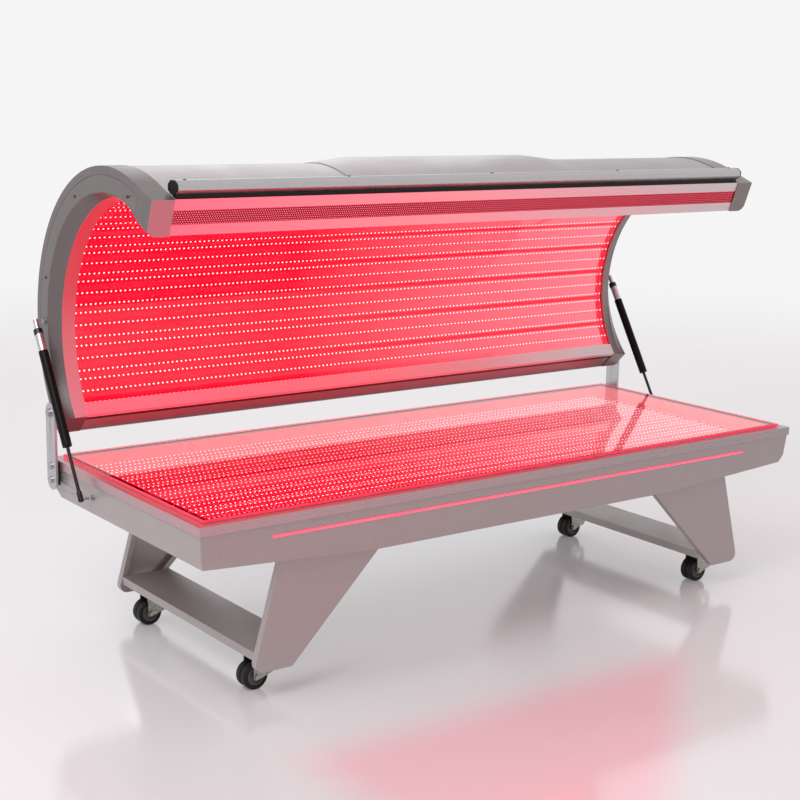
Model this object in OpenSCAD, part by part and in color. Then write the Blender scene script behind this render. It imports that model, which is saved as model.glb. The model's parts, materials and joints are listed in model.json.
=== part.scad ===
// Light therapy bed: a steel tray on four castered legs under a C-shaped
// canopy that swings on two side plates and is held by two gas struts.
// Millimetres. X runs along the bed, the user lies along X, +Y is the hinge
// side, +Z is up, and Z = 0 is the floor.

/* [Bed tray] */
// Length of the bed, and of the canopy over it
bed_l = 2200; // [2100:10:2300]
// Width of the bed
bed_w = 890; // [850:5:930]
// Height of the rim above the floor
bed_h = 512; // [490:1:540]
// Depth of the tray's sides at its two ends
tray_end_h = 95; // [90:1:105]
// Depth of the tray over its flat middle
tray_mid_h = 149; // [140:1:158]
// Height of the bevel under the raised ends
bevel_h = 25; // [18:1:30]
// Inset of that bevel
bevel_in = 10; // [6:1:14]
// Length of the flat middle of the underside
flat_l = 1080; // [1000:10:1160]
// How far the sides lean in, per millimetre of drop
side_lean = 0.084; // [0.05:0.002:0.11]
// Thickness of the steel sheet
sheet_t = 2; // [1.5:0.1:3]
// Width of the aluminium rim, seen from above
rim_w = 45; // [40:1:52]
// Height of the rim's outer band
rim_h = 25; // [20:1:30]
// Wall of the rim
rim_t = 3; // [2:0.1:4]
// Margin of rim left bare outside the clear sheet
rim_bare = 27; // [22:1:30]
// Thickness of the bed's clear sheet
bed_clear_t = 8; // [6:0.5:10]
// Thickness of the seal under the clear sheet
seal_t = 2; // [1:0.1:3]
// Depth of the reflector pan under the rim
pan_h = 37; // [32:1:42]
// Length of the lit strip on the front face
strip_l = 1766; // [1600:2:1820]
// Height of the lit strip
strip_h = 6; // [4:0.5:8]
// Drop of the lit strip below the rim
strip_drop = 58; // [50:1:64]

/* [Light boards] */
// Width of one board
board_w = 84; // [78:1:88]
// Pitch of the boards on the flat bed
board_pitch = 91; // [89:0.5:93]
// Boards on the bed
bed_boards = 8; // [6:1:8]
// Boards round the curve of the canopy
canopy_boards = 10; // [8:1:10]
// Angle from one curved board to the next
board_step = 13.4; // [12.8:0.1:13.4]
// Bare length at each end of the canopy's boards
board_end = 1; // [0.5:0.5:20]
// Bare length at each end of the bed's boards
bed_board_end = 150; // [120:1:170]
// Pitch of the rows of lamps on a board
row_pitch = 36; // [33:0.5:38]
// Thickness of a board
board_t = 2; // [1.6:0.1:2.4]
// Width and height of one row of lamps
lamp_w = 5; // [4:0.5:6]
lamp_h = 1; // [0.6:0.1:1.4]

/* [Legs and casters] */
// Inset of the leg panels from the sides of the bed
leg_in = 39; // [34:1:46]
// Thickness of a folded leg panel
leg_t = 22; // [18:1:28]
// Height of the panels' lower edges
leg_z = 78; // [70:1:84]
// Leg corners along X from the middle of the bed: top inner, top outer
leg_top = [521, 840];
// Leg corners along X from the middle of the bed: bottom inner, bottom outer
leg_foot = [804, 923];
// Radius of the leg's outer lower corner
leg_r = 24; // [10:1:30]
// Height of the shelf between the panels
shelf_z = 130; // [126:1:136]
// Depth of the shelf's folded edges
shelf_lip = 24; // [18:1:28]
// Thickness of the shelf sheet
shelf_t = 3; // [2:0.5:4]
// Places of the swivels along X and Y
caster_x = 848; // [840:1:856]
caster_y = 305; // [290:1:312]
// Wheel diameter
wheel_d = 75; // [70:1:80]
// Wheel width
wheel_w = 46; // [38:1:48]
// Distance from the swivel to the axle
trail = 20; // [16:1:24]
// Height of the fork's crown
fork_z = 101; // [98:1:104]
// Thickness of the fork's plate
fork_t = 3; // [2:0.5:4]
// Axle diameter
axle_d = 8; // [6:1:10]
// Swivel pin diameter
kingpin_d = 12; // [10:1:14]

/* [Canopy] */
// Outer radius of the canopy
canopy_r = 460; // [450:1:470]
// Width of an end cap's side, from its outer to its inner edge
canopy_t = 72; // [68:1:78]
// Inset of the lit panel's radius from the outer radius
panel_inset = 60; // [56:1:66]
// Middle of the panel's curve, from the middle of the outer curve
panel_c = [-52, -26];
// Angle on the panel's curve at which it turns straight to the lip
panel_a = 103; // [102.6:0.1:104]
// Angle of the canopy's lower rear edge, from the level
tail_a = -43.5; // [-45:0.5:-43]
// Angle at which the curve turns into the straight nose
nose_a = 112; // [110:0.5:114]
// Length of the straight nose along its top
nose_l = 106; // [98:1:114]
// Height of the lip's face
lip_h = 101; // [96:1:106]
// Lean of the lip's face from the vertical
lip_lean = 20; // [17:0.5:23]
// Width of an end cap along X
cap_w = 65; // [58:1:72]
// Width of the slope in an end cap's reveal
slope_w = 29; // [24:1:34]
// How far the reveal's flange opens towards that slope
flare = 8; // [5:0.5:11]
// Radius of the lip's outer lower corner
corner_r = 25; // [18:1:30]
// Wall of an end cap
cap_wall = 3; // [2.5:0.1:4]
// Thickness of an end cap's side
cap_side = 6; // [5:0.5:8]
// Width of the cap's border round its inlaid plate
cap_border = 23; // [19:1:27]
// Thickness of the inlaid plate
inlay_t = 2; // [1.5:0.1:3]
// Thickness of the outer skin
skin_t = 2; // [1.2:0.1:3]
// Thickness of the curved clear sheet
clear_t = 4; // [3:0.5:5]
// Height of the trim along the panel's lower edge
trim_h = 38; // [34:1:40]
// Length of the raised cover on top, along its plateau
hump_l = 628; // [560:2:700]
// Length of the ramp at each end of the raised cover
hump_ramp = 129; // [110:1:150]
// Rise of the raised cover
hump_h = 16; // [12:0.5:20]
// Handle rail's width and height
handle_w = 50; // [44:1:56]
handle_h = 36; // [32:1:40]
// Pitch of the handle's fixings
handle_pitch = 500; // [480:5:505]
// Pitch of the holes in the fascia grille
grille_pitch = 18; // [16:0.5:22]
// Width of a grille hole
grille_hole = 9; // [7:0.5:10]

/* [Hinges and struts] */
// Inset of the hinge plates from the bed's rear edge, to their middle
hinge_in = 40; // [36:1:44]
// Height of the canopy's pivot above the rim
pivot_up = 140; // [132:1:148]
// Angle on the canopy at which its pivot sits
pivot_a = -36; // [-37.5:0.5:-34.5]
// Distance of the pivot from the canopy's outer skin
pivot_edge = 20; // [18:1:24]
// Width and thickness of a hinge plate
hinge_w = 60; // [52:1:64]
hinge_t = 8; // [6:1:10]
// Gap between a hinge plate and the bed's end
hinge_gap = 8; // [6:0.5:10]
// Pivot pin diameter
pivot_d = 16; // [14:1:18]
// Drop of the hinge plate's two bolts below the rim
bolt_drop = [16, 57];
// Hinge bolt diameter
bolt_d = 10; // [8:1:12]
// Distance of the struts' ball centres from the bed's ends
strut_out = 28; // [26:1:32]
// Lower ball: distance from the bed's rear edge, and drop below the rim
lower_in = 265; // [255:1:275]
lower_drop = 65; // [60:1:70]
// Upper ball: distance from the canopy's outer skin
upper_in = 52; // [46:1:56]
// Ball diameter
ball_d = 10; // [9:0.5:11]
// Strut tube, sleeve and rod diameters
tube_d = 24; // [22:0.5:25]
sleeve_d = 27.5; // [26.5:0.5:29]
rod_d = 10; // [8:0.5:11]
// Length of a strut tube
tube_l = 354; // [340:1:360]
// Length of rod kept inside the tube with the canopy open
rod_in = 150; // [135:1:165]

/* [Hidden] */
$fn = 96;

// Clearances: seat between fixed pieces, running fit, free play of a rod
seat = 0.3;
fit = 0.05;
rod_play = 1.8;
over = 1;

// Colours
painted = [0.72, 0.71, 0.70];
silver = [0.80, 0.80, 0.81];
dark_grey = [0.42, 0.40, 0.39];
black = [0.07, 0.07, 0.08];
steel = [0.62, 0.62, 0.64];
clear_red = [1.0, 0.45, 0.5, 0.4];
lamp_red = [0.95, 0.12, 0.2];
board_white = [0.93, 0.90, 0.90];

// Bed
seal_in = 6;
seal_w = 10;
z_rim_under = bed_h - rim_t;
z_face = bed_h - tray_end_h;
z_end = z_face - bevel_h;
z_mid = bed_h - tray_mid_h;
z_pan = bed_h - rim_t - pan_h;
clear_l = bed_l - 2 * rim_bare;
clear_w = bed_w - 2 * rim_bare + 4;
pan_wall = 1.5;
pan_l = bed_l - 2 * rim_w;
pan_w = bed_w - 2 * rim_w;
lean_a = atan(side_lean);
// Half length and half width of the bare tray at a height
function tray_x(z) = bed_l / 2 - rim_t - (bed_h - z) * side_lean;
function tray_y(z) = bed_w / 2 - rim_t - (bed_h - z) * side_lean;
// Height of the underside at a distance from the middle
end_x = tray_x(z_face) - bevel_in;
function under_z(x) =
    z_mid + max(0, abs(x) - flat_l / 2) / (end_x - flat_l / 2) * (z_end - z_mid);

// Canopy, as a profile in the plane across the bed: first coordinate to the
// rear, second up, measured from the middle of its curve
side_r = canopy_r - canopy_t;
pivot_r = canopy_r - pivot_edge;
pivot_y = bed_w / 2 - hinge_in;
pivot_z = bed_h + pivot_up;
canopy_y = pivot_y - pivot_r * cos(pivot_a);
canopy_z = pivot_z - pivot_r * sin(pivot_a);
// The part's frame puts the middle of its footprint on the Z axis
bed_y = (bed_w / 2 - canopy_y - canopy_r) / 2;

function polar(r, a) = [r * cos(a), r * sin(a)];
function unit(v) = v / norm(v);
function meet(p, u, q, v) = p + u * (cross(q - p, v) / cross(u, v));

out_u = [-sin(nose_a), cos(nose_a)];
out_n = polar(1, nose_a);
lip_top = polar(canopy_r, nose_a) + nose_l * out_u;
lip_v = [sin(lip_lean), -cos(lip_lean)];
lip_n = [cos(lip_lean), sin(lip_lean)];
lip_foot = lip_top + lip_h * lip_v;
panel_r = canopy_r - panel_inset;
in_p = panel_c + polar(panel_r, panel_a);
in_u = unit(lip_foot - in_p);
in_n = [in_u.y, -in_u.x];
// A point on the nose's inner side, at depth d and s behind the lip's face
function nose_in(d, s) = meet(in_p + d * in_n, in_u, lip_foot + s * lip_n, lip_v);
// Distance of the panel's face from the middle of the outer curve, at an angle
function face_r(a) =
    let (k = polar(1, a) * panel_c) k + sqrt(k * k - panel_c * panel_c + panel_r * panel_r);
// Angle on a curve of radius r about the panel's middle, t above the tail's edge
function panel_angle(t, r) = tail_a + asin((t - panel_c * polar(1, tail_a + 90)) / r);
big = 2 * canopy_r;

half = bed_l / 2;
seal_gap = 0.4;
span = half - cap_w - seal_gap;
skin_d = 2;
clear_d = 2;
liner_d = 14;
liner_t = 2;
rail_up = 4;
rail_t = 9;
web_t = 3.5;
sheet_foot = trim_h - web_t;
fascia_t = 1.5;
fascia_back = 3;
fascia_rail_h = 30;
grille_h = lip_h - 2 * fascia_rail_h;
fascia_return = 30;
inlay_gap = 0.8;
inlay_back = 75;
screw_r = side_r + 24;
screw_step = 45.75;
screw_a = [for (i = [0 : 3]) nose_a - 2.5 - i * screw_step];

// Struts, in the plane across the bed
lower_ball = [bed_w / 2 - lower_in, bed_h - lower_drop];
upper_r = canopy_r - upper_in;
upper_ball = [canopy_y + upper_r, canopy_z];
strut_v = upper_ball - lower_ball;
strut_l = norm(strut_v);
strut_a = atan2(strut_v.y, strut_v.x);
strut_x = half + strut_out;
socket_r = 7.5;
socket_l = 24;
tube_end = strut_l - 26 - tube_l;

// Legs
leg_y = bed_w / 2 - leg_in;
shelf_y = leg_y - leg_t;
// Distance along X of a leg's two edges at a height
function leg_edge(z, i) =
    let (top = under_z(leg_top[i]))
    leg_foot[i] + (leg_top[i] - leg_foot[i]) * (z - leg_z) / (top - leg_z);
caster_top = shelf_z - shelf_t;
leg_lip = 16;
race_gap = 0.5;
cheek_gap = 1.5;
plate_t = 4;

module placed() {
    translate([0, bed_y, 0]) children();
}

module both_ends() {
    for (s = [0, 1]) mirror([s, 0, 0]) children();
}

// Extrudes a profile of the canopy from x0 to x1
module canopy_span(x0, x1) {
    placed() translate([x0, canopy_y, canopy_z]) rotate([90, 0, 90])
        linear_extrude(x1 - x0) children();
}

// Puts a piece at a point of the canopy's profile, its +Z along the bed's +X
module at_canopy(p, x) {
    placed() translate([x, canopy_y + p.x, canopy_z + p.y]) rotate([0, 90, 0])
        children();
}

module x_rod(r, x0, x1, y, z) {
    translate([x0, y, z]) rotate([0, 90, 0]) cylinder(r = r, h = x1 - x0);
}

module y_rod(r, y0, y1) {
    translate([0, y0, 0]) rotate([-90, 0, 0]) cylinder(r = r, h = y1 - y0);
}

module sector(r, a0, a1) {
    polygon([[0, 0], for (i = [0 : 4]) polar(1.5 * r, a0 + (a1 - a0) * i / 4)]);
}

// Keeps what is above a line at angle a, t past it, and s behind the lip's face
module within(a, t, s) {
    intersection() {
        children();
        rotate(a) translate([-big, t]) square(2 * big);
        at_lip() translate([-big, s]) square(2 * big);
    }
}

module at_lip() {
    translate(lip_top) rotate(lip_lean - 90) children();
}

// All that lies under the outer skin's line, at depth d. The nose leaves the
// curve at a slight angle, so that the two cross cleanly.
module outer_area(d) {
    circle(r = canopy_r - d);
    polygon([[0, 0], polar(canopy_r - d - 0.5, nose_a),
             polar(canopy_r - d, nose_a) + 2 * nose_l * out_u]);
}

// All that lies under the nose's inner side, at depth d
module under_nose(d) {
    translate(in_p + d * in_n) rotate(atan2(in_u.y, in_u.x)) translate([-big, 0])
        square(2 * big);
}

// All that lies under the panel's face, at depth d
module inner_area(d) {
    intersection() {
        translate(panel_c) circle(r = panel_r + d);
        under_nose(d);
    }
}

// A skin that follows the panel, from depth d0 to d1, from t above the tail's edge
module inner_sheet(d0, d1, t, s) {
    within(tail_a, t, s) difference() {
        inner_area(d1);
        inner_area(d0);
    }
}

// A skin that follows the outside of the canopy
module outer_sheet(d0, d1, a, s) {
    within(a, 0, s) difference() {
        outer_area(d0);
        outer_area(d1);
    }
}

// Bed

module tray_solid(d, z_top) {
    drop = bed_h - z_mid;
    rings = [
        [tray_x(z_top) - d, tray_y(z_top) - d, z_top],
        [tray_x(z_face) - d, tray_y(z_face) - d, z_face],
        [end_x - d, tray_y(z_face) - bevel_in - d, z_end + d],
        [flat_l / 2, tray_y(z_mid) - d, z_mid + d]
    ];
    points = [for (r = rings) for (sx = [-1, 1]) for (sy = [-1, 1])
        [sx * r[0], sy * r[1], r[2]]];
    hull() polyhedron(points, [[for (i = [0 : len(points) - 1]) i]]);
}

module tray_shell() {
    color(painted) placed() difference() {
        tray_solid(0, z_rim_under);
        difference() {
            tray_solid(sheet_t, z_rim_under + over);
            translate([0, 0, z_mid - over])
                linear_extrude(over + sheet_t) square([bed_l, bed_w], center = true);
        }
        strip_at(seat / 2, over);
        hinge_bores(bolt_d / 2 + seat);
        both_ends() x_rod(4, end_x - 20, half, lower_ball.x, lower_ball.y);
        inlet_at(0.2, over);
    }
}

// The lit strip's place in the leaning front face
module strip_at(grow, deep) {
    y = tray_y(bed_h - strip_drop);
    translate([0, -y, bed_h - strip_drop]) rotate([lean_a, 0, 0])
        cube([strip_l + 2 * grow, 2 * (sheet_t + deep), strip_h + 2 * grow], center = true);
}

module hinge_bores(r) {
    both_ends() for (d = bolt_drop)
        x_rod(r, half - 30, half + hinge_gap + hinge_t + over, pivot_y, bed_h - d);
}

module bed_rim() {
    color(silver) placed() difference() {
        translate([0, 0, bed_h - rim_h]) linear_extrude(rim_h)
            rounded_rect(bed_l, bed_w, 4);
        translate([0, 0, bed_h - rim_h - over]) linear_extrude(rim_h - rim_t + over)
            square([bed_l - 2 * rim_t, bed_w - 2 * rim_t], center = true);
        translate([0, 0, bed_h - rim_h]) linear_extrude(rim_h + over)
            square([pan_l, pan_w], center = true);
        hinge_bores(bolt_d / 2 + seat);
    }
}

// A rectangle with round corners, made of plain pieces
module rounded_rect(l, w, r) {
    square([l - 2 * r, w], center = true);
    square([l, w - 2 * r], center = true);
    for (sx = [-1, 1]) for (sy = [-1, 1])
        translate([sx * (l / 2 - r), sy * (w / 2 - r)]) circle(r = r, $fn = 32);
}

module rim_seal() {
    color(black) placed() translate([0, 0, bed_h]) linear_extrude(seal_t)
        difference() {
            square([clear_l - 2 * seal_in, clear_w - 2 * seal_in], center = true);
            square([clear_l - 2 * seal_in - 2 * seal_w,
                    clear_w - 2 * seal_in - 2 * seal_w], center = true);
        }
}

module bed_clear_sheet() {
    color(clear_red) placed() translate([0, 0, bed_h + seal_t])
        linear_extrude(bed_clear_t) rounded_rect(clear_l, clear_w, 5);
}

module bed_reflector() {
    color(board_white) placed() difference() {
        translate([0, 0, z_pan]) linear_extrude(pan_h)
            square([pan_l + 2 * pan_wall, pan_w + 2 * pan_wall], center = true);
        translate([0, 0, z_pan + pan_wall]) linear_extrude(pan_h)
            square([pan_l, pan_w], center = true);
    }
}

// One board with its rows of lamps, lying face up on z = 0
module light_board(l) {
    translate([0, 0, board_t / 2]) cube([l, board_w, board_t], center = true);
    for (i = [-1 : 1]) translate([0, i * row_pitch, board_t + lamp_h / 2])
        cube([l - 2 * lamp_w, lamp_w, lamp_h], center = true);
}

module bed_light_boards() {
    color(lamp_red) placed() for (i = [0 : bed_boards - 1])
        translate([0, (i - (bed_boards - 1) / 2) * board_pitch, z_pan + pan_wall])
            light_board(bed_l - 2 * bed_board_end);
}

rail_w = 40;
rail_h = 40;
rail_y = bed_w / 2 - 75;
rail_l = bed_l - 160;
rail_z = under_z(rail_l / 2) + sheet_t + 0.5;
cross_n = 5;
tube_wall = 2.5;
foot_pitch = 400;

// A welded frame of box tube, with feet down to the tray's floor
module tray_frame() {
    color(dark_grey) placed() {
        for (y = [-1, 1]) translate([0, y * rail_y, rail_z]) box_tube(rail_l, rail_w, rail_h);
        for (i = [0 : cross_n - 1]) translate([cross_x(i), 0, rail_z]) rotate([0, 0, 90])
            box_tube(2 * rail_y - rail_w + 2, rail_w, z_pan - rail_z - 0.1);
        for (x = [-1.5, -0.5, 0.5, 1.5] * foot_pitch) for (y = [-1, 1]) translate([x, y * rail_y, 0]) {
            z0 = under_z(abs(x) + rail_w / 4) + sheet_t + 0.1;
            translate([-rail_w / 4, -rail_w / 4, z0])
                cube([rail_w / 2, rail_w / 2, rail_z + over - z0]);
        }
    }
}

function cross_x(i) = (i - (cross_n - 1) / 2) * (rail_l - rail_w) / (cross_n - 1);

// A square tube along X, standing on z = 0
module box_tube(l, w, h) {
    translate([-l / 2, 0, h / 2]) rotate([90, 0, 90]) linear_extrude(l) difference() {
        square([w, h], center = true);
        square([w - 2 * tube_wall, h - 2 * tube_wall], center = true);
    }
}

supply = [215, 115, 50];
supply_x = 248;
supply_y = 150;

module power_supplies() {
    color(steel) placed() for (x = [-1, 1]) for (y = [-1, 1])
        translate([x * supply_x, y * supply_y, z_mid + sheet_t]) supply_box();
}

// A vented supply case on two feet
module supply_box() {
    difference() {
        translate([-supply.x / 2, -supply.y / 2, 0]) cube(supply);
        for (i = [-4 : 4]) translate([i * 20 - 3, -supply.y / 2 - over, 12])
            cube([6, 4 + over, supply.z - 24]);
        translate([0, 0, supply.z - 4]) cylinder(d = 60, h = 4 + over);
    }
    for (s = [-1, 1]) translate([s * (supply.x / 2 + 9), 0, 1.5])
        cube([18, supply.y - 20, 3], center = true);
    translate([0, 0, supply.z - 4]) cylinder(d = 22, h = 3);
}

inlet = [48, 30];
inlet_x = 700;

// The mains inlet's body in the rear face, low enough to clear the rails
module inlet_at(grow, deep) {
    z = bed_h - 60;
    y = tray_y(z);
    translate([inlet_x, y, z]) rotate([-lean_a, 0, 0])
        cube([inlet.x + 2 * grow, 2 * (sheet_t + deep), inlet.y + 2 * grow], center = true);
}

module power_inlet() {
    z = bed_h - 60;
    y = tray_y(z);
    color(black) placed() translate([inlet_x, y, z]) rotate([-lean_a, 0, 0])
        rotate([90, 0, 0]) difference() {
            union() {
                translate([0, 0, -2.2]) linear_extrude(2)
                    rounded_rect(inlet.x + 12, inlet.y + 10, 3);
                translate([0, 0, -0.2]) linear_extrude(22)
                    square([inlet.x, inlet.y], center = true);
            }
            translate([0, 0, -over - 2.2]) linear_extrude(17)
                rounded_rect(inlet.x - 14, inlet.y - 8, 3);
        }
}

module light_strip() {
    color(lamp_red) placed() strip_at(0, 1);
}

// Legs and casters

// Lean of a leg's outer edge from the vertical
leg_tilt = atan((leg_foot[1] - leg_top[1]) / (under_z(leg_top[1]) - leg_z));

// Outline of a leg panel, its outer lower corner round
module leg_outline() {
    centre = [leg_foot[1] - leg_r * tan(45 + leg_tilt / 2), leg_z + leg_r];
    polygon([
        [leg_foot[0], leg_z],
        for (i = [0 : 8]) centre + polar(leg_r, -90 + i * (90 + leg_tilt) / 8),
        [leg_top[1], under_z(leg_top[1])],
        [flat_l / 2, z_mid],
        [leg_top[0], z_mid]
    ]);
}

// A folded panel: a skin, returned edges, and lips round its open back
module leg_panel(sx, sy) {
    color(painted) placed() mirror([sx < 0 ? 1 : 0, 0, 0]) mirror([0, sy < 0 ? 1 : 0, 0])
        translate([0, leg_y, 0]) rotate([90, 0, 0]) difference() {
            linear_extrude(leg_t) leg_outline();
            translate([0, 0, sheet_t]) linear_extrude(leg_t - 2 * sheet_t)
                offset(delta = -sheet_t) leg_outline();
            translate([0, 0, leg_t / 2]) linear_extrude(leg_t)
                offset(delta = -leg_lip) leg_outline();
        }
}

module leg_shelves() {
    x0 = leg_edge(shelf_z, 0);
    x1 = leg_edge(shelf_z, 1);
    color(painted) placed() both_ends() difference() {
        translate([x0, -shelf_y, shelf_z - shelf_lip])
            cube([x1 - x0, 2 * shelf_y, shelf_lip]);
        translate([x0 + shelf_t, -shelf_y - over, shelf_z - shelf_lip - over])
            cube([x1 - x0 - 2 * shelf_t, 2 * shelf_y + 2 * over, shelf_lip - shelf_t + over]);
    }
}

module at_caster(sx, sy) {
    placed() translate([sx * caster_x, sy * caster_y, 0]) children();
}

race_h = caster_top - fork_z - race_gap - plate_t;
pin_head = [17, 2.4];

module caster_plates() {
    color(steel) for (sx = [-1, 1]) for (sy = [-1, 1]) at_caster(sx, sy) difference() {
        union() {
            translate([0, 0, caster_top - plate_t]) linear_extrude(plate_t) difference() {
                rounded_rect(62, 62, 6);
                for (i = [-1, 1]) for (j = [-1, 1])
                    translate([i * 23, j * 23]) circle(d = 7, $fn = 24);
            }
            translate([0, 0, fork_z + race_gap]) rotate_extrude()
                polygon([[0, 0], [22, 0], [22, 8], [17, race_h], [0, race_h]]);
        }
        translate([0, 0, fork_z - over]) cylinder(d = kingpin_d + 2 * fit, h = 40);
        translate([0, 0, caster_top - pin_head[1] - 2 * seat])
            cylinder(d = pin_head[0] + 1, h = plate_t);
    }
}

// Cheek of the fork, seen from the side: X from the axle, Y up from the floor
module cheek() {
    r = wheel_d / 2;
    difference() {
        union() {
            polygon([[-10, r], [-10, fork_z], [44, fork_z], [57, fork_z - 18],
                     [57, r + 20], [48, r + 5], [6, r - 8]]);
            translate([0, r]) circle(r = 10);
        }
        translate([18, r + 27]) square([22, 16]);
        translate([0, r]) circle(d = axle_d - 2 * seat);
    }
}

module fork(sx, sy) {
    y = wheel_w / 2 + cheek_gap;
    r = wheel_d / 2;
    color(steel) at_caster(sx, sy) {
        for (s = [-1, 1]) translate([-trail, s * (y + fork_t / 2) + fork_t / 2, 0])
            rotate([90, 0, 0]) linear_extrude(fork_t) cheek();
        translate([-trail - 10, -y - over / 2, fork_z - fork_t])
            cube([54, 2 * y + over, fork_t]);
        translate([0, 0, fork_z - fork_t / 2])
            cylinder(d = kingpin_d, h = caster_top - seat - fork_z + fork_t / 2);
        translate([0, 0, caster_top - seat - pin_head[1]])
            cylinder(d = pin_head[0], h = pin_head[1]);
        translate([-trail, 0, r]) {
            rotate([90, 0, 0]) cylinder(d = axle_d, h = 2 * y + 2 * fork_t, center = true);
            for (s = [-1, 1]) translate([0, s * (y + fork_t + 2.5), 0]) rotate([90, 0, 0])
                cylinder(d = 14, h = 5, center = true, $fn = s < 0 ? 48 : 6);
        }
    }
}

hub_r = 25;

module hub(sx, sy) {
    color(dark_grey) at_caster(sx, sy) translate([-trail, 0, wheel_d / 2])
        rotate([90, 0, 0]) rotate_extrude() polygon([
            [axle_d / 2 + fit, -wheel_w / 2 - 1], [9, -wheel_w / 2 - 1],
            [9, -wheel_w / 2 + 6], [20, -wheel_w / 2 + 6], [20, -wheel_w / 2 + 1],
            [hub_r, -wheel_w / 2 + 1], [hub_r, wheel_w / 2 - 1],
            [20, wheel_w / 2 - 1], [20, wheel_w / 2 - 6], [9, wheel_w / 2 - 6],
            [9, wheel_w / 2 + 1], [axle_d / 2 + fit, wheel_w / 2 + 1]
        ]);
}

// A twin-tread tyre with round shoulders
module tyre(sx, sy) {
    r = wheel_d / 2;
    h = wheel_w / 2;
    c = 5;
    shoulder = [for (i = [0 : 5]) [r - c + c * cos(i * 18), h - c + c * sin(i * 18)]];
    right = concat([[r - 3, 0], [r - 3, 1.5], [r, 3]], shoulder, [[hub_r + fit, h]]);
    left = [for (i = [len(right) - 1 : -1 : 1]) [right[i].x, -right[i].y]];
    color(black) at_caster(sx, sy) translate([-trail, 0, r]) rotate([90, 0, 0])
        rotate_extrude() polygon(concat(right, left));
}

// Hinges and struts

hinge_foot = bed_h - bolt_drop[1] - hinge_w / 2;

module hinge_slot(w, z0, z1) {
    translate([0, pivot_y - w / 2, z0 + w / 2]) cube([hinge_t, w, z1 - z0 - w]);
    for (z = [z0 + w / 2, z1 - w / 2]) x_rod(w / 2, 0, hinge_t, pivot_y, z);
}

module hinge_plates() {
    x = half + hinge_gap;
    color(silver) placed() difference() {
        both_ends() translate([x, 0, 0])
            hinge_slot(hinge_w, hinge_foot, pivot_z + hinge_w / 2);
        hinge_bores(bolt_d / 2 + seat);
        both_ends() x_rod(pivot_d / 2 + seat, x - over, x + hinge_t + over, pivot_y, pivot_z);
    }
}

module hinge_spacers() {
    color(black) placed() difference() {
        both_ends() {
            translate([half, pivot_y - hinge_w / 2 + 4, bed_h - 70])
                cube([hinge_gap, hinge_w - 8, 68]);
            x_rod(15, half + seat, half + hinge_gap, pivot_y, pivot_z);
        }
        hinge_bores(bolt_d / 2 + seat);
        both_ends()
            x_rod(pivot_d / 2 + seat, half - over, half + hinge_gap + over, pivot_y, pivot_z);
    }
}

module hinge_bolts() {
    x = half + hinge_gap + hinge_t;
    color(steel) placed() both_ends() for (d = bolt_drop) {
        wall = tray_x(bed_h - d - 12) - sheet_t;
        x_rod(bolt_d / 2, wall - 12, x + 1, pivot_y, bed_h - d);
        x_rod(10, x, x + 6, pivot_y, bed_h - d);
        translate([wall - 8, pivot_y, bed_h - d]) rotate([0, 90, 0])
            cylinder(r = 9, h = 7.5, $fn = 6);
    }
}

pin_in = 34;

module pivot_pins() {
    x = half + hinge_gap + hinge_t;
    color(steel) placed() both_ends() {
        x_rod(pivot_d / 2, half - pin_in, x + 1, pivot_y, pivot_z);
        x_rod(14, x, x + 3, pivot_y, pivot_z);
        x_rod(11, x + 2, x + 9, pivot_y, pivot_z);
    }
}

module pivot_bushes() {
    color(dark_grey) placed() both_ends() difference() {
        x_rod(pivot_d / 2 + 3, half - pin_in, half - 0.2, pivot_y, pivot_z);
        x_rod(pivot_d / 2 + fit, half - pin_in - over, half + over, pivot_y, pivot_z);
    }
}

// A ball stud along X: its ball at x = 0, its flange's face at x = -reach
module ball_stud(reach, shank) {
    sphere(d = ball_d, $fn = 48);
    x_rod(3.2, -reach, -ball_d / 2 + 1, 0, 0);
    x_rod(9, -reach, -reach + 3, 0, 0);
    translate([-reach + 3, 0, 0]) rotate([0, 90, 0]) cylinder(r = 7.5, h = 5, $fn = 6);
    x_rod(3.7, -reach - shank, -reach + 1, 0, 0);
}

module lower_ball_studs() {
    wall = tray_x(lower_ball.y + 9);
    color(steel) placed() both_ends() translate([strut_x, lower_ball.x, lower_ball.y])
        ball_stud(strut_x - wall - 0.02, 14);
}

module upper_ball_studs() {
    color(steel) placed() both_ends() translate([strut_x, upper_ball.x, upper_ball.y])
        ball_stud(strut_out, 16);
}

// Turns a strut drawn along +Y to run from the lower to the upper ball
module along_strut(s) {
    placed() mirror([s < 0 ? 1 : 0, 0, 0]) translate([strut_x, lower_ball.x, lower_ball.y])
        rotate([strut_a, 0, 0]) children();
}

// A socket with its ball at the origin, its shank towards +Y, open to -X
module ball_socket() {
    difference() {
        union() {
            y_rod(socket_r, -6, socket_l);
            sphere(r = socket_r + 0.5);
        }
        sphere(d = ball_d + 2 * fit + 0.1, $fn = 48);
        x_rod(ball_d / 2 + fit + 0.05, -socket_r - over, 0, 0, 0);
    }
}

module rod(s) {
    color(steel) along_strut(s) {
        ball_socket();
        y_rod(rod_d / 2, socket_l - 2, tube_end + rod_in);
        y_rod(rod_d / 2 + 2.5, tube_end + rod_in, tube_end + rod_in + 12);
    }
}

module tube(s) {
    bore = tube_d / 2 - 1.6;
    color(silver) along_strut(s) {
        translate([0, strut_l, 0]) mirror([0, 1, 0]) ball_socket();
        y_rod(tube_d / 2 + 1.2, strut_l - 41, strut_l - 26);
        difference() {
            y_rod(tube_d / 2, tube_end, strut_l - socket_l);
            y_rod(bore, tube_end + 12, strut_l - socket_l - 12);
            y_rod(rod_d / 2 + rod_play, tube_end - over, tube_end + 13);
        }
    }
}

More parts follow.
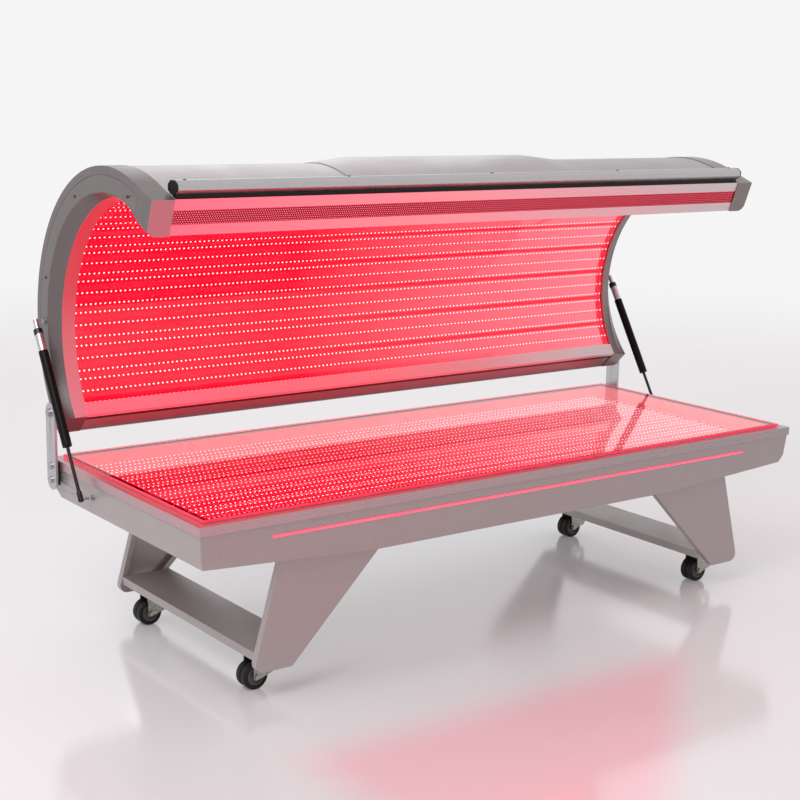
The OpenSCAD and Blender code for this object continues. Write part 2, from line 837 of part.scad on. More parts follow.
module sleeve(s) {
    color(black) along_strut(s) difference() {
        y_rod(sleeve_d / 2, tube_end - 2, strut_l - 92);
        y_rod(tube_d / 2 + fit, tube_end, strut_l);
        y_rod(rod_d / 2 + rod_play, tube_end - 2 - over, tube_end + over);
    }
}

// Canopy

slope_n = 144;

// One end of the slope: a thin disc that holds the circle of radius r + g
module slope_disc(x, c, r, g) {
    at_canopy(c, x) cylinder(r = (r + 1.4 * g) / cos(180 / slope_n) + 0.2, h = 0.1, $fn = slope_n);
}

// The hollow inside an end cap, g larger all round: a flange that opens a
// little from the panel, then a slope out to the inner edge of the cap's side
module reveal(g) {
    x0 = half - cap_w;
    x1 = half - slope_w;
    k = flare / (x1 - x0);
    k1 = -over / slope_w;
    intersection() {
        union() {
            at_canopy(panel_c, x0 - over)
                cylinder(r1 = panel_r + g - k * over, r2 = panel_r + g + flare, h = x1 - x0 + over);
            hull() {
                slope_disc(x1, panel_c, panel_r + flare, g);
                slope_disc(half + over, k1 * panel_c, side_r + k1 * (panel_r + flare - side_r), g);
            }
        }
        canopy_span(x0 - 2 * over, half + 2 * over) under_nose(g);
    }
}

// What rounds off the lip's outer lower corner, around a radius r
module lip_corner(r) {
    c = corner_r - 0.15;
    placed() translate([half - c, canopy_y + lip_foot.x, canopy_z + lip_foot.y])
        rotate([lip_lean, 0, 0]) translate([0, 0, c]) difference() {
            translate([0, -over, -2 * c]) cube([2 * c, 4 * corner_r, 2 * c]);
            translate([0, -2 * over, 0]) rotate([-90, 0, 0]) cylinder(r = r, h = 5 * corner_r);
        }
}

module cap() {
    difference() {
        union() {
            difference() {
                canopy_span(half - cap_w, half) within(tail_a, 0, 0) outer_area(0);
                difference() {
                    canopy_span(half - cap_w - over, half - cap_side)
                        within(tail_a, cap_wall, cap_wall) outer_area(cap_wall);
                    reveal(cap_wall);
                    lip_corner(corner_r - cap_wall - 0.6);
                }
            }
            at_canopy(polar(pivot_r, pivot_a), half - pin_in)
                cylinder(r = pivot_d / 2 + 7, h = pin_in - cap_side + over);
            at_canopy(polar(upper_r, 0), half - cap_side - 8) cylinder(r = 9, h = 8 + over);
        }
        reveal(0);
        lip_corner(corner_r);
        canopy_span(half - inlay_t - 0.05, half + over) inlay_shape(0);
        at_canopy(polar(pivot_r, pivot_a), half - pin_in - over)
            cylinder(r = pivot_d / 2 + 3 + fit, h = pin_in + 2 * over);
        at_canopy(polar(upper_r, 0), half - 30) cylinder(r = 4, h = 40);
        for (a = screw_a) at_canopy(polar(screw_r, a), half - 20)
            cylinder(r = 2.2, h = 30, $fn = 24);
    }
}

module cap_left() {
    color(dark_grey) mirror([1, 0, 0]) cap();
}

module cap_right() {
    color(dark_grey) cap();
}

// Outline of the inlaid side plate, g smaller all round than its recess
module inlay_shape(g) {
    within(pivot_a + 4.5, g, inlay_back + g) difference() {
        outer_area(cap_border + g);
        intersection() {
            circle(r = side_r + 2 + g);
            under_nose(2 + g);
        }
    }
}

module cap_inlays() {
    color(dark_grey) both_ends() difference() {
        canopy_span(half - inlay_t, half) inlay_shape(inlay_gap);
        for (a = screw_a) at_canopy(polar(screw_r, a), half - 10)
            cylinder(r = 2.7, h = 20, $fn = 24);
        at_canopy(polar(upper_r, 0), half - 10) cylinder(r = 4.2, h = 20);
    }
}

module cap_screws() {
    color(steel) both_ends() for (a = screw_a) at_canopy(polar(screw_r, a), half) difference() {
        union() {
            cylinder(r1 = 5, r2 = 3.6, h = 2.4, $fn = 32);
            translate([0, 0, -12]) cylinder(r = 2, h = 12.5, $fn = 24);
        }
        translate([0, 0, 1.2]) cylinder(r = 1.6, h = 2, $fn = 6);
    }
}

module canopy_skin() {
    color(painted) canopy_span(-span, span)
        outer_sheet(skin_d, skin_d + skin_t, tail_a, fascia_back + fascia_t + seat);
}

hump_a = [60, 118];

// Everything under the outer skin's face, to cut what stands on it
module under_skin() {
    canopy_span(-span, span) outer_sheet(skin_d - seat, canopy_t, 30, 0);
}

// A block of the raised cover, d smaller all round, its ends sloping
module raised_block(d) {
    foot = canopy_r - skin_d;
    x0 = hump_l / 2 + hump_ramp;
    x1 = hump_l / 2 - d / 2;
    turn = d / foot * 180 / PI;
    placed() translate([0, canopy_y, canopy_z]) rotate([90, 0, 90])
        rotate(hump_a[0] + turn) rotate_extrude(angle = hump_a[1] - hump_a[0] - 2 * turn)
            polygon([[foot - 30 - d, -x0], [foot + skin_t - d, -x0], [foot + hump_h - d, -x1],
                     [foot + hump_h - d, x1], [foot + skin_t - d, x0], [foot - 30 - d, x0]]);
}

module raised_cover() {
    color(painted) difference() {
        raised_block(0);
        raised_block(skin_t);
        under_skin();
    }
}

module canopy_liner() {
    color(board_white) canopy_span(-span, span)
        inner_sheet(liner_d, liner_d + liner_t, rail_up + rail_t + seat, 25);
}

board_l = 2 * (span - board_end);
board_r = sqrt(pow(panel_r + liner_d, 2) - pow(board_w / 2, 2)) - 0.1;
board_a0 = panel_angle(trim_h - 1, panel_r + liner_d) + atan(board_w / 2 / board_r);

module canopy_light_boards() {
    color(lamp_red) placed() translate([0, canopy_y, canopy_z]) {
        translate([0, panel_c.x, panel_c.y]) for (i = [0 : canopy_boards - 1])
            rotate([board_a0 + i * board_step, 0, 0])
                translate([0, board_r, 0]) rotate([90, 0, 0]) light_board(board_l);
        p = nose_in(liner_d - 0.3, 29 + board_w / 2);
        translate([0, p.x, p.y]) rotate([atan2(in_u.y, in_u.x) + 180, 0, 0])
            rotate([180, 0, 0]) light_board(board_l);
    }
}

module canopy_clear_sheet() {
    color(clear_red) canopy_span(-span, span)
        inner_sheet(clear_d, clear_d + clear_t, sheet_foot + 0.3, 26);
}

// A strip that follows the panel, from t0 to t1 above the tail's edge
module trim_strip(d0, d1, t0, t1) {
    difference() {
        inner_sheet(d0, d1, t0, 0);
        rotate(tail_a) translate([-big, t1]) square(2 * big);
    }
}

// The channel that holds the clear sheet's lower edge
module lower_trim() {
    color(silver) canopy_span(-span, span) {
        trim_strip(0, clear_d - 0.1, 0.5, trim_h);
        trim_strip(clear_d - 0.2, liner_d - 0.1, 0.5, 0.5 + web_t);
        trim_strip(clear_d - 0.2, liner_d - 0.1, sheet_foot - web_t, sheet_foot);
    }
}

// A point above the lip's foot, s behind its face
function behind_lip(up, s) = lip_foot - up * lip_v + s * lip_n;

module fascia_rails() {
    y = fascia_back;
    color(silver) canopy_span(-span, span) {
        at_lip() translate([0.5, y]) square([fascia_rail_h, fascia_t]);
        polygon([nose_in(0, y), nose_in(0, fascia_return), nose_in(fascia_t, fascia_return),
                 nose_in(fascia_t, y + fascia_t), behind_lip(fascia_rail_h, y + fascia_t),
                 behind_lip(fascia_rail_h, y)]);
    }
}

module fascia_grille() {
    h = grille_h + 8;
    n = floor((2 * span - grille_pitch) / grille_pitch);
    row = (grille_h - 4) / 3;
    color(lamp_red) placed() translate([0, canopy_y + lip_top.x, canopy_z + lip_top.y])
        rotate([lip_lean - 90, 0, 0]) translate([-span, fascia_rail_h - 4, 0])
            translate([0, 0, fascia_back + fascia_t + 0.05]) linear_extrude(1.2) difference() {
                square([2 * span, h]);
                for (j = [0 : 2]) for (i = [0 : n - 1])
                    translate([grille_pitch * (i + 0.75 + 0.5 * (j % 2)), 6 + row * (j + 0.5)])
                        circle(d = grille_hole, $fn = 6);
            }
}

fan = 50;
fan_t = 15;
fan_n = 6;

module canopy_fans() {
    y = fascia_back + fascia_t + 1.4;
    color(black) for (i = [0 : fan_n - 1]) {
        x = (i - (fan_n - 1) / 2) * (2 * span / fan_n);
        placed() translate([x, canopy_y + lip_top.x, canopy_z + lip_top.y])
            rotate([lip_lean - 90, 0, 0]) translate([0, 24 + fan / 2, y]) difference() {
                translate([-fan / 2, -fan / 2, 0]) cube([fan, fan, fan_t]);
                difference() {
                    translate([0, 0, -over]) cylinder(d = fan - 4, h = fan_t + 2 * over);
                    translate([0, 0, 2]) cylinder(d = 20, h = fan_t - 4);
                    for (a = [0 : 60 : 300]) rotate([0, 0, a]) rotate([0, 35, 0])
                        translate([0, -1, 3]) cube([1.2, fan / 2, 8]);
                }
            }
    }
}

driver = [240, 60, 34];
driver_pitch = 520;

module canopy_drivers() {
    color(steel) for (x = [-1, 0, 1] * driver_pitch) placed()
        translate([x, canopy_y + panel_c.x, canopy_z + panel_c.y]) rotate([84, 0, 0])
            translate([-driver.x / 2, panel_r + liner_d + liner_t + 0.2, -driver.y / 2])
                cube([driver.x, driver.z, driver.y]);
}

handle_c = lip_top - 27 * out_u + (handle_h / 2 + 4) * out_n;
base_drop = 20;
handle_n = floor((span - 20) / handle_pitch);

module handle_shape(d) {
    w = handle_w / 2 - d;
    h = handle_h / 2 - d;
    k = 0.4;
    polygon([[-w, -h * k], [-w * k, -h], [w * k, -h], [w, -h * k],
             [w, h * k], [w * k, h], [-w * k, h], [-w, h * k]]);
}

module handle_rail() {
    color(silver) difference() {
        canopy_span(-span + 4, span - 4) translate(handle_c) handle_shape(0);
        canopy_span(-span, span) translate(handle_c) handle_shape(3);
        for (i = [-handle_n : handle_n]) placed()
            translate([i * handle_pitch, canopy_y + handle_c.x, canopy_z + handle_c.y])
                cylinder(r = 3.3, h = handle_h + 10, center = true, $fn = 24);
    }
}

// The base between the rail and the skin, and the screws through the rail
module handle_fixings() {
    color(black) difference() {
        canopy_span(-span + 5, span - 5) translate(handle_c)
            translate([-handle_w * 0.18, -handle_h / 2 - base_drop])
                square([handle_w * 0.36, base_drop - 0.02]);
        under_skin();
    }
    color(black) {
        for (i = [-handle_n : handle_n]) placed()
            translate([i * handle_pitch, canopy_y + handle_c.x, canopy_z + handle_c.y]) {
                translate([0, 0, -handle_h / 2 - over]) cylinder(r = 3, h = handle_h + 1.5, $fn = 24);
                translate([0, 0, handle_h / 2]) cylinder(r1 = 5, r2 = 4, h = 2, $fn = 24);
            }
    }
}

module handle_plugs() {
    color(black) both_ends() canopy_span(span - 4 + 0.1, span - 0.2) translate(handle_c) handle_shape(0);
}

module rear_rail() {
    r = face_r(tail_a) + liner_d + 1;
    color(silver) canopy_span(-span, span) rotate(tail_a) translate([r, rail_up])
        square([canopy_r - skin_d - skin_t - seat - r, rail_t]);
}

rib_n = 4;
rib_t = 3;

module canopy_ribs() {
    d0 = liner_d + liner_t + seat;
    d1 = skin_d + skin_t + seat;
    a0 = tail_a + 3;
    a1 = nose_a - 2;
    color(dark_grey) for (i = [0 : rib_n - 1]) {
        x = (i - (rib_n - 1) / 2) * (2 * span - 60) / (rib_n - 1);
        canopy_span(x - rib_t / 2, x + rib_t / 2) difference() {
            intersection() {
                circle(r = canopy_r - d1);
                sector(canopy_r, a0, a1);
            }
            inner_area(d0);
            for (a = [a0 + 8 : 12 : a1 - 6])
                translate(polar((face_r(a) + d0 + canopy_r - d1) / 2, a))
                    circle(r = 15, $fn = 32);
        }
    }
}

tray_shell();
bed_rim();
rim_seal();
bed_clear_sheet();
bed_reflector();
bed_light_boards();
tray_frame();
power_supplies();
power_inlet();
light_strip();
leg_panel(-1, -1);  // leg_front_left
leg_panel(-1, 1);  // leg_rear_left
leg_panel(1, -1);  // leg_front_right
leg_panel(1, 1);  // leg_rear_right
leg_shelves();
hinge_plates();
hinge_spacers();
hinge_bolts();
pivot_pins();
lower_ball_studs();
caster_plates();
cap_left();
cap_right();
cap_inlays();
cap_screws();
canopy_skin();
raised_cover();
canopy_liner();
canopy_light_boards();
canopy_clear_sheet();
lower_trim();
fascia_rails();
fascia_grille();
canopy_fans();
canopy_drivers();
handle_rail();
handle_fixings();
handle_plugs();
rear_rail();
canopy_ribs();
pivot_bushes();
upper_ball_studs();
rod(-1);  // rod_left
rod(1);  // rod_right
tube(-1);  // tube_left
tube(1);  // tube_right
sleeve(-1);  // sleeve_left
sleeve(1);  // sleeve_right
fork(-1, -1);  // fork_front_left
fork(-1, 1);  // fork_rear_left
fork(1, -1);  // fork_front_right
fork(1, 1);  // fork_rear_right
hub(-1, -1);  // hub_front_left
hub(-1, 1);  // hub_rear_left
hub(1, -1);  // hub_front_right
hub(1, 1);  // hub_rear_right
tyre(-1, -1);  // tyre_front_left
tyre(-1, 1);  // tyre_rear_left
tyre(1, -1);  // tyre_front_right
tyre(1, 1);  // tyre_rear_right
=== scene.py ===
"""Light therapy bed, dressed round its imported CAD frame.

A castered steel tray carries eight lamp boards under a clear sheet. A C-shaped canopy with
eleven more boards tilts on two side plates and is held by two gas struts. Everything is in
metres, in the CAD's own frame: X along the bed, +Y to the hinge side, +Z up.
"""

from __future__ import annotations

import json
import logging
import math
from dataclasses import dataclass, field, replace
from enum import Enum
from typing import Any, Sequence

import bmesh
import bpy
from mathutils import Matrix, Vector

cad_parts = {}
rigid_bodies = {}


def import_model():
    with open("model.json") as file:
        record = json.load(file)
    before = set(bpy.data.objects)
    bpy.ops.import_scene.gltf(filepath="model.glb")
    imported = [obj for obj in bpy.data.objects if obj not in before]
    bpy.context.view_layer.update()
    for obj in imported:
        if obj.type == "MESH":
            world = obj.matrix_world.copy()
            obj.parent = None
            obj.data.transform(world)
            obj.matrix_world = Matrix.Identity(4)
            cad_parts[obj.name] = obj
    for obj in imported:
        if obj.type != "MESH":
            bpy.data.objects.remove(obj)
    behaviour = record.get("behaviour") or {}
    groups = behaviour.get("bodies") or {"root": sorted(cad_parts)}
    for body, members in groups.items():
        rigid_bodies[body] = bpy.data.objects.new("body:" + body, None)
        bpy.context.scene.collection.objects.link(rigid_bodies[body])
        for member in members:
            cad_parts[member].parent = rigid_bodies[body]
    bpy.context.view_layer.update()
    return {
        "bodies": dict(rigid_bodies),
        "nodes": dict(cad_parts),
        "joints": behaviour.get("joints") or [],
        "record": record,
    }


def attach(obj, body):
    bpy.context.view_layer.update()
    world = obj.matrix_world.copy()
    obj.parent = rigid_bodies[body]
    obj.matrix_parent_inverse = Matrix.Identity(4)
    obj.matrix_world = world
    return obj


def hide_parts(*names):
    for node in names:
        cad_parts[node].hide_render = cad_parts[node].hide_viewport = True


LOG = logging.getLogger("light_bed")
MM = 0.001
MERGE = 0.01 * MM
SHARP_ANGLE = 30.0

Point = tuple[float, float]
Place = tuple[float, float, float]
Colour = tuple[float, float, float, float]
Node = bpy.types.Node


class Grain(Enum):
    """Direction in which an extrusion was drawn or a bar was ground."""

    ALONG_X = (0.02, 1.0, 1.0)
    ALONG_Z = (1.0, 1.0, 0.02)
    ROUND = (1.0, 1.0, 1.0)


def linear(code: str) -> Colour:
    """Turns an sRGB colour into the linear one that shaders take.

    Args:
        code: six hex digits.

    Returns:
        Red, green, blue and an alpha of one.
    """
    parts = [int(code[i:i + 2], 16) / 255 for i in (0, 2, 4)]
    red, green, blue = (
        p / 12.92 if p <= 0.04045 else ((p + 0.055) / 1.055) ** 2.4 for p in parts)
    return red, green, blue, 1.0


def wire(tree: bpy.types.NodeTree, node: Node, inputs: dict[Any, Any]) -> None:
    """Sets or links a node's inputs.

    Args:
        tree: the node's tree.
        node: the node.
        inputs: for each input, by name or number, a value, an output to link, a node whose
            first output in use is linked, or a list of nodes that are all linked.
    """
    for key, given in inputs.items():
        for value in given if isinstance(given, list) else [given]:
            if isinstance(value, Node):
                value = next(output for output in value.outputs if output.enabled)
            if isinstance(value, bpy.types.NodeSocket):
                tree.links.new(value, node.inputs[key])
            else:
                node.inputs[key].default_value = value


def add_node(tree: bpy.types.NodeTree, kind: str, inputs: dict[Any, Any] | None = None,
             **settings: Any) -> Node:
    """Adds a node to a tree with its settings and links.

    Args:
        tree: the tree that gets the node.
        kind: the node's type name.
        inputs: what its inputs get. See wire.
        **settings: the node's own properties.

    Returns:
        The new node.
    """
    node = tree.nodes.new(kind)
    for name, value in settings.items():
        setattr(node, name, value)
    wire(tree, node, inputs or {})
    return node


class Surface:
    """A material while its pattern is laid: its tree, shader and Object coordinates."""

    def __init__(self, name: str) -> None:
        """Starts a material.

        Args:
            name: its name in the file.
        """
        self.material = bpy.data.materials.new(name)
        self.material.use_nodes = True
        self.tree = self.material.node_tree
        self.shader = self.tree.nodes["Principled BSDF"]
        self.place = self.node("ShaderNodeTexCoord").outputs["Object"]

    @property
    def colour(self) -> Any:
        """The base colour so far: its value, or the output that holds it."""
        socket = self.shader.inputs["Base Color"]
        return socket.links[0].from_socket if socket.links else tuple(socket.default_value)

    def node(self, kind: str, inputs: dict[Any, Any] | None = None, **settings: Any) -> Node:
        """Adds a node to the material. See add_node."""
        return add_node(self.tree, kind, inputs, **settings)

    def feed(self, inputs: dict[str, Any]) -> None:
        """Sets or links the shader's inputs. See wire."""
        wire(self.tree, self.shader, inputs)

    def layers(self, below: Any, *coats: tuple[Any, str]) -> Any:
        """Lays colours over one another.

        Args:
            below: the lowest colour, or what holds it.
            *coats: for each colour above it, what holds its pattern, and its sRGB digits.

        Returns:
            What holds the result.
        """
        for pattern, code in coats:
            below = self.node("ShaderNodeMix", {"Factor": pattern, 6: below, 7: linear(code)},
                              data_type="RGBA")
        return below

    def tint(self, *coats: tuple[Any, str]) -> None:
        """Lays colours over the base colour. See layers."""
        self.feed({"Base Color": self.layers(self.colour, *coats)})

    def overlap(self, first: Any, *others: Any) -> Any:
        """Keeps only what lies in every one of some masks.

        Args:
            first: what holds the first mask.
            *others: what holds each other mask, or a level that the result is scaled to.

        Returns:
            What holds the result.
        """
        for other in others:
            first = self.node("ShaderNodeMath", {0: first, 1: other}, operation="MULTIPLY")
        return first

    def from_line(self, centre: Point) -> Node:
        """Measures the distance from a line that runs along X.

        Args:
            centre: a point (y, z) that the line passes through.

        Returns:
            What holds the distance.
        """
        flat = self.node("ShaderNodeVectorMath", {0: self.place, 1: (0.0, 1.0, 1.0)},
                         operation="MULTIPLY")
        return self.node("ShaderNodeVectorMath", {0: flat, 1: (0.0, *centre)},
                         operation="DISTANCE")

    def vary_gloss(self, pattern: Any, low: float, high: float) -> None:
        """Moves the roughness by a noise, most of which lies between 0.3 and 0.7.

        Args:
            pattern: what holds the noise.
            low: the least roughness.
            high: the most.
        """
        self.feed({"Roughness": self.node("ShaderNodeMapRange", {
            "Value": pattern, "From Min": 0.3, "From Max": 0.7,
            "To Min": low, "To Max": high})})

    def relief(self, pattern: Any, strength: float, depth: float) -> None:
        """Raises the surface by a pattern.

        Args:
            pattern: what holds it.
            strength: how much of it shows.
            depth: its real height.
        """
        self.feed({"Normal": self.node("ShaderNodeBump", {
            "Height": pattern, "Strength": strength, "Distance": depth})})


@dataclass(frozen=True)
class Finish:
    """A material that one of the bed's surfaces really has, with painted light at the left end
    of some pieces.

    Args:
        name: the material's name in the file.
        colour: its sRGB colour.
        roughness: how far its gloss is blurred.
        metallic: one for bare metal, less for metallic paint.
        painted_light: sRGB colour painted at the left end of a piece: the lamps' red light, and
            on the caps painted shade.
        painted_light_run: where along X that painted colour is full, and where it has faded
            out.
        painted_light_glow: how much painted glow of that colour the piece gives off.
    """

    name: str
    colour: str
    roughness: float
    metallic: float = 0.0
    painted_light: str = ""
    painted_light_run: Point = (-1.1, 0.5)
    painted_light_glow: float = 0.0

    def material(self) -> bpy.types.Material:
        """Makes the material once.

        Returns:
            The material, the same one at each call.
        """
        found = bpy.data.materials.get(self.name)
        if found:
            return found
        on = Surface(self.name)
        on.feed({"Base Color": linear(self.colour), "Roughness": self.roughness,
                 "Metallic": self.metallic})
        self.texture(on)
        if self.painted_light:
            self.paint_light(on)
        on.material.diffuse_color = linear(self.colour)
        return on.material

    def paint_light(self, on: Surface) -> None:
        """Paints the lamps' red light over the colour, strongest at the left end, with its glow
        where given; on the caps it paints shade.

        Args:
            on: the material being made.
        """
        split = on.node("ShaderNodeSeparateXYZ", {"Vector": on.place})
        amount = on.node("ShaderNodeMapRange", {
            "Value": split.outputs["X"], "From Min": self.painted_light_run[0],
            "From Max": self.painted_light_run[1], "To Min": 1.0, "To Max": 0.0})
        # Painted light: a colour set by place along X, not the surface's own.
        on.tint((amount, self.painted_light))
        if self.painted_light_glow:
            on.feed({"Emission Color": linear(self.painted_light),
                     "Emission Strength": on.overlap(amount, self.painted_light_glow)})

    def texture(self, on: Surface) -> None:
        """Gives the surface its pattern. The plain finish has a faint handling haze.

        Args:
            on: the material being made.
        """
        self.haze(on, size=90 * MM, change=0.04)

    def haze(self, on: Surface, size: float, change: float) -> None:
        """Varies the gloss in soft patches, as wiping and handling do.

        Args:
            on: the material being made.
            size: width of a patch.
            change: how far the roughness moves each way.
        """
        patch = on.node("ShaderNodeTexNoise",
                        {"Vector": on.place, "Scale": 1 / size, "Detail": 3.0})
        on.vary_gloss(patch, self.roughness - change, self.roughness + change)


@dataclass(frozen=True)
class PowderCoat(Finish):
    """Polyester powder with metal flake, sprayed and baked on steel sheet.

    To the eye: a satin silver-grey skin with a soft ripple and tiny lighter flakes.

    Args:
        flake: sRGB colour of the flakes.
        flake_size: width of a flake. The real ones are 0.05 mm wide, too fine to show.
        flake_cover: how much of the surface's colour the flakes take at most.
        flake_run: levels of the noise at which a flake starts and is full.
        peel: width of a ripple, 2.5 mm on the real coat.
        peel_depth: height of a ripple.
    """

    flake: str = "D8D6D4"
    flake_size: float = 1.2 * MM
    flake_cover: float = 0.6
    flake_run: Point = (0.45, 0.75)
    peel: float = 2.5 * MM
    peel_depth: float = 0.12 * MM

    def texture(self, on: Surface) -> None:
        """Adds flakes, ripple and handling haze.

        Args:
            on: the material being made.
        """
        flakes = on.node("ShaderNodeTexNoise", {
            "Vector": on.place, "Scale": 1 / self.flake_size, "Detail": 1.0})
        cover = on.node("ShaderNodeMapRange", {
            "Value": flakes, "From Min": self.flake_run[0], "From Max": self.flake_run[1],
            "To Max": self.flake_cover})
        on.tint((cover, self.flake))
        ripple = on.node("ShaderNodeTexNoise",
                         {"Vector": on.place, "Scale": 1 / self.peel, "Detail": 2.0})
        on.relief(ripple, strength=0.12, depth=self.peel_depth)
        self.haze(on, size=120 * MM, change=0.05)


@dataclass(frozen=True)
class CapLacquer(PowderCoat):
    """Metallic lacquer on the end caps, with painted red light and glow where it faces the
    lamps.

    To the eye: dark grey with a fine flake, darker towards the left end by painted shade; the
    left cap's flange next to the lamps has painted red light, red above and pink below, and its
    lip face a muted red.

    Args:
        panel: middle of the panel's curve, as (y, z).
        reach: radius about it that the flange lies within.
        lip: a point on the lip's face, as (y, z).
        back: direction from the lip's face into the canopy.
        skin: how far behind the lip's face still counts as the face.
        clear: how far behind the lip's face the flange's painted red light ends.
        rise: heights from the panel's middle between which the flange's painted light turns
            red.
        high: sRGB colour of the painted light on the flange at its top.
        low: sRGB colour of the painted light on the flange at its bottom.
        front: sRGB colour of the painted light on the left lip face.
        under: sRGB colour that the lacquer is painted at the lit places, under their painted
            glow.
        glow: how bright the painted glow of the lit places is.
    """

    panel: Point = (0.0, 0.0)
    reach: float = 0.0
    lip: Point = (0.0, 0.0)
    back: Point = (1.0, 0.0)
    skin: float = 1 * MM
    clear: float = 130 * MM
    rise: Point = (-350 * MM, 100 * MM)
    high: str = "DE0C2A"
    low: str = "E86C7E"
    front: str = "C0505E"
    under: str = "401014"
    glow: float = 0.8

    def texture(self, on: Surface) -> None:
        """Adds the flake, then the painted red light and glow at the lit places.

        Args:
            on: the material being made.
        """
        PowderCoat.texture(self, on)
        split = on.node("ShaderNodeSeparateXYZ", {"Vector": on.place})
        height = on.node("ShaderNodeMapRange", {
            "Value": split.outputs["Z"], "From Min": self.panel[1] + self.rise[0],
            "From Max": self.panel[1] + self.rise[1]})
        depth = on.node("ShaderNodeVectorMath", {0: on.place, 1: (0.0, *self.back)},
                        operation="DOT_PRODUCT")
        plane = self.lip[0] * self.back[0] + self.lip[1] * self.back[1]
        near, inside, face, left = (
            on.node("ShaderNodeMath", {0: value, 1: limit}, operation=test)
            for value, test, limit in (
                (on.from_line(self.panel), "LESS_THAN", self.reach),
                (depth, "GREATER_THAN", plane + self.clear),
                (depth, "LESS_THAN", plane + self.skin),
                (split.outputs["X"], "LESS_THAN", 0.0)))
        front = on.overlap(face, left)
        lit = on.node("ShaderNodeMath", {0: on.overlap(near, left, inside), 1: front},
                      operation="MAXIMUM")
        # Painted light: dark red colour and red glow where the lamps light the flange and lip.
        on.tint((lit, self.under))
        on.feed({"Emission Strength": on.overlap(lit, self.glow),
                 "Emission Color": on.layers(linear(self.low), (height, self.high),
                                             (front, self.front))})


@dataclass(frozen=True)
class DrawnMetal(Finish):
    """Extruded, brushed or ground metal with fine lines in one direction.

    To the eye: a soft sheen that stretches across the lines.

    Args:
        grain: direction of the lines.
        second: sRGB colour of the lines.
        line: distance from line to line. The real ones are some 0.1 mm apart, too fine to
            show.
        depth: their depth.
        shift: how far they move the roughness, down and up.
    """

    grain: Grain = Grain.ALONG_X
    second: str = "B9B9BC"
    line: float = 1.4 * MM
    depth: float = 0.02 * MM
    shift: Point = (-0.05, 0.07)

    def texture(self, on: Surface) -> None:
        """Adds the lines to colour, gloss and relief.

        Args:
            on: the material being made.
        """
        along = on.node("ShaderNodeMapping", {"Vector": on.place, "Scale": self.grain.value})
        lines = on.node("ShaderNodeTexNoise",
                        {"Vector": along, "Scale": 1 / self.line, "Detail": 3.0})
        on.tint((lines, self.second))
        on.vary_gloss(lines, *(self.roughness + change for change in self.shift))
        on.relief(lines, strength=0.15, depth=self.depth)


@dataclass(frozen=True)
class BandedMetal(DrawnMetal):
    """Metal with a black band: a strut's collar by its ball, or painted shade of the slot
    beside a rail.

    To the eye: bright metal, a matt black band, and metal again past it.

    Args:
        ball: the band's centre across the bed, as (y, z).
        ring: where the black band starts and ends, from that centre.
        black: sRGB colour of the band, which on the rear rail is painted shade.
    """

    ball: Point = (0.0, 0.0)
    ring: Point = (0.0, 0.0)
    black: str = "0C0C0E"

    def texture(self, on: Surface) -> None:
        """Adds the lines, then the band.

        Args:
            on: the material being made.
        """
        DrawnMetal.texture(self, on)
        inside = on.node("ShaderNodeMath", {
            0: on.from_line(self.ball), 1: sum(self.ring) / 2,
            2: (self.ring[1] - self.ring[0]) / 2}, operation="COMPARE")
        # On the rear rail this black band is painted shade of the slot; on the struts it is a
        # real collar.
        on.tint((inside, self.black))
        on.feed({"Metallic": on.node("ShaderNodeMath", {0: self.metallic, 1: inside},
                                     operation="SUBTRACT")})


@dataclass(frozen=True)
class ZincPlate(Finish):
    """Passivated zinc on pressed steel.

    To the eye: bright grey crystals a few millimetres wide, with a faint yellow cast.

    Args:
        crystal: width of a crystal.
        second: sRGB colour of the darker crystals.
    """

    crystal: float = 5 * MM
    second: str = "8F8D86"

    def texture(self, on: Surface) -> None:
        """Adds the crystals and the haze between them.

        Args:
            on: the material being made.
        """
        cells = on.node("ShaderNodeTexVoronoi",
                        {"Vector": on.place, "Scale": 1 / self.crystal})
        tone = on.node("ShaderNodeSeparateColor", {"Color": cells.outputs["Color"]})
        on.tint((tone.outputs["Red"], self.second))
        self.haze(on, size=20 * MM, change=0.08)


@dataclass(frozen=True)
class Moulded(Finish):
    """Injection-moulded plastic or rubber with a spark-eroded grain.

    To the eye: matt, with fine pebbling that breaks up its highlights.

    Args:
        pebble: width of the grain, 0.2 mm on real mouldings, which is too fine to show.
        depth: its depth.
        dust: sRGB colour that its hollows hold.
        dust_size: width of a dusty patch.
        shine: how much its skin mirrors.
    """

    pebble: float = 0.9 * MM
    depth: float = 0.08 * MM
    dust: str = "2B2A2A"
    dust_size: float = 30 * MM
    shine: float = 0.5

    def texture(self, on: Surface) -> None:
        """Adds the pebbling, and dust in its hollows.

        Args:
            on: the material being made.
        """
        grain, cloud = (
            on.node("ShaderNodeTexNoise",
                    {"Vector": on.place, "Scale": 1 / size, "Detail": detail})
            for size, detail in ((self.pebble, 2.0), (self.dust_size, 4.0)))
        on.tint((on.overlap(grain, cloud), self.dust))
        on.relief(grain, strength=0.35, depth=self.depth)
        on.feed({"Specular IOR Level": self.shine})


@dataclass(frozen=True)
class CastAcrylic(Finish):
    """Clear cast acrylic sheet, polished, with lamps behind it.

    To the eye: nearly invisible from the front, mirror-like at a low angle, and hazy with
    the red light that it carries, which is painted as a faint glow.

    Args:
        glow: sRGB colour of the painted glow that stands in for the light scattered in the
            sheet.
        painted_glow_level: how bright that painted glow is.
        gloss: how much its faces mirror, 0.5 for bare acrylic, less where it is coated.
        index: its refractive index, 1.49 for bare acrylic, less where it is coated.
    """

    glow: str = "FF1030"
    painted_glow_level: float = 0.05
    gloss: float = 0.5
    index: float = 1.49

    def texture(self, on: Surface) -> None:
        """Makes the sheet clear, with a faint painted glow and wipe marks.

        Args:
            on: the material being made.
        """
        # The faint emission is painted glow for the lamps' light scattered in the sheet.
        on.feed({"Transmission Weight": 1.0, "IOR": self.index,
                 "Specular IOR Level": self.gloss, "Emission Color": linear(self.glow),
                 "Emission Strength": self.painted_glow_level})
        self.haze(on, size=160 * MM, change=0.01)


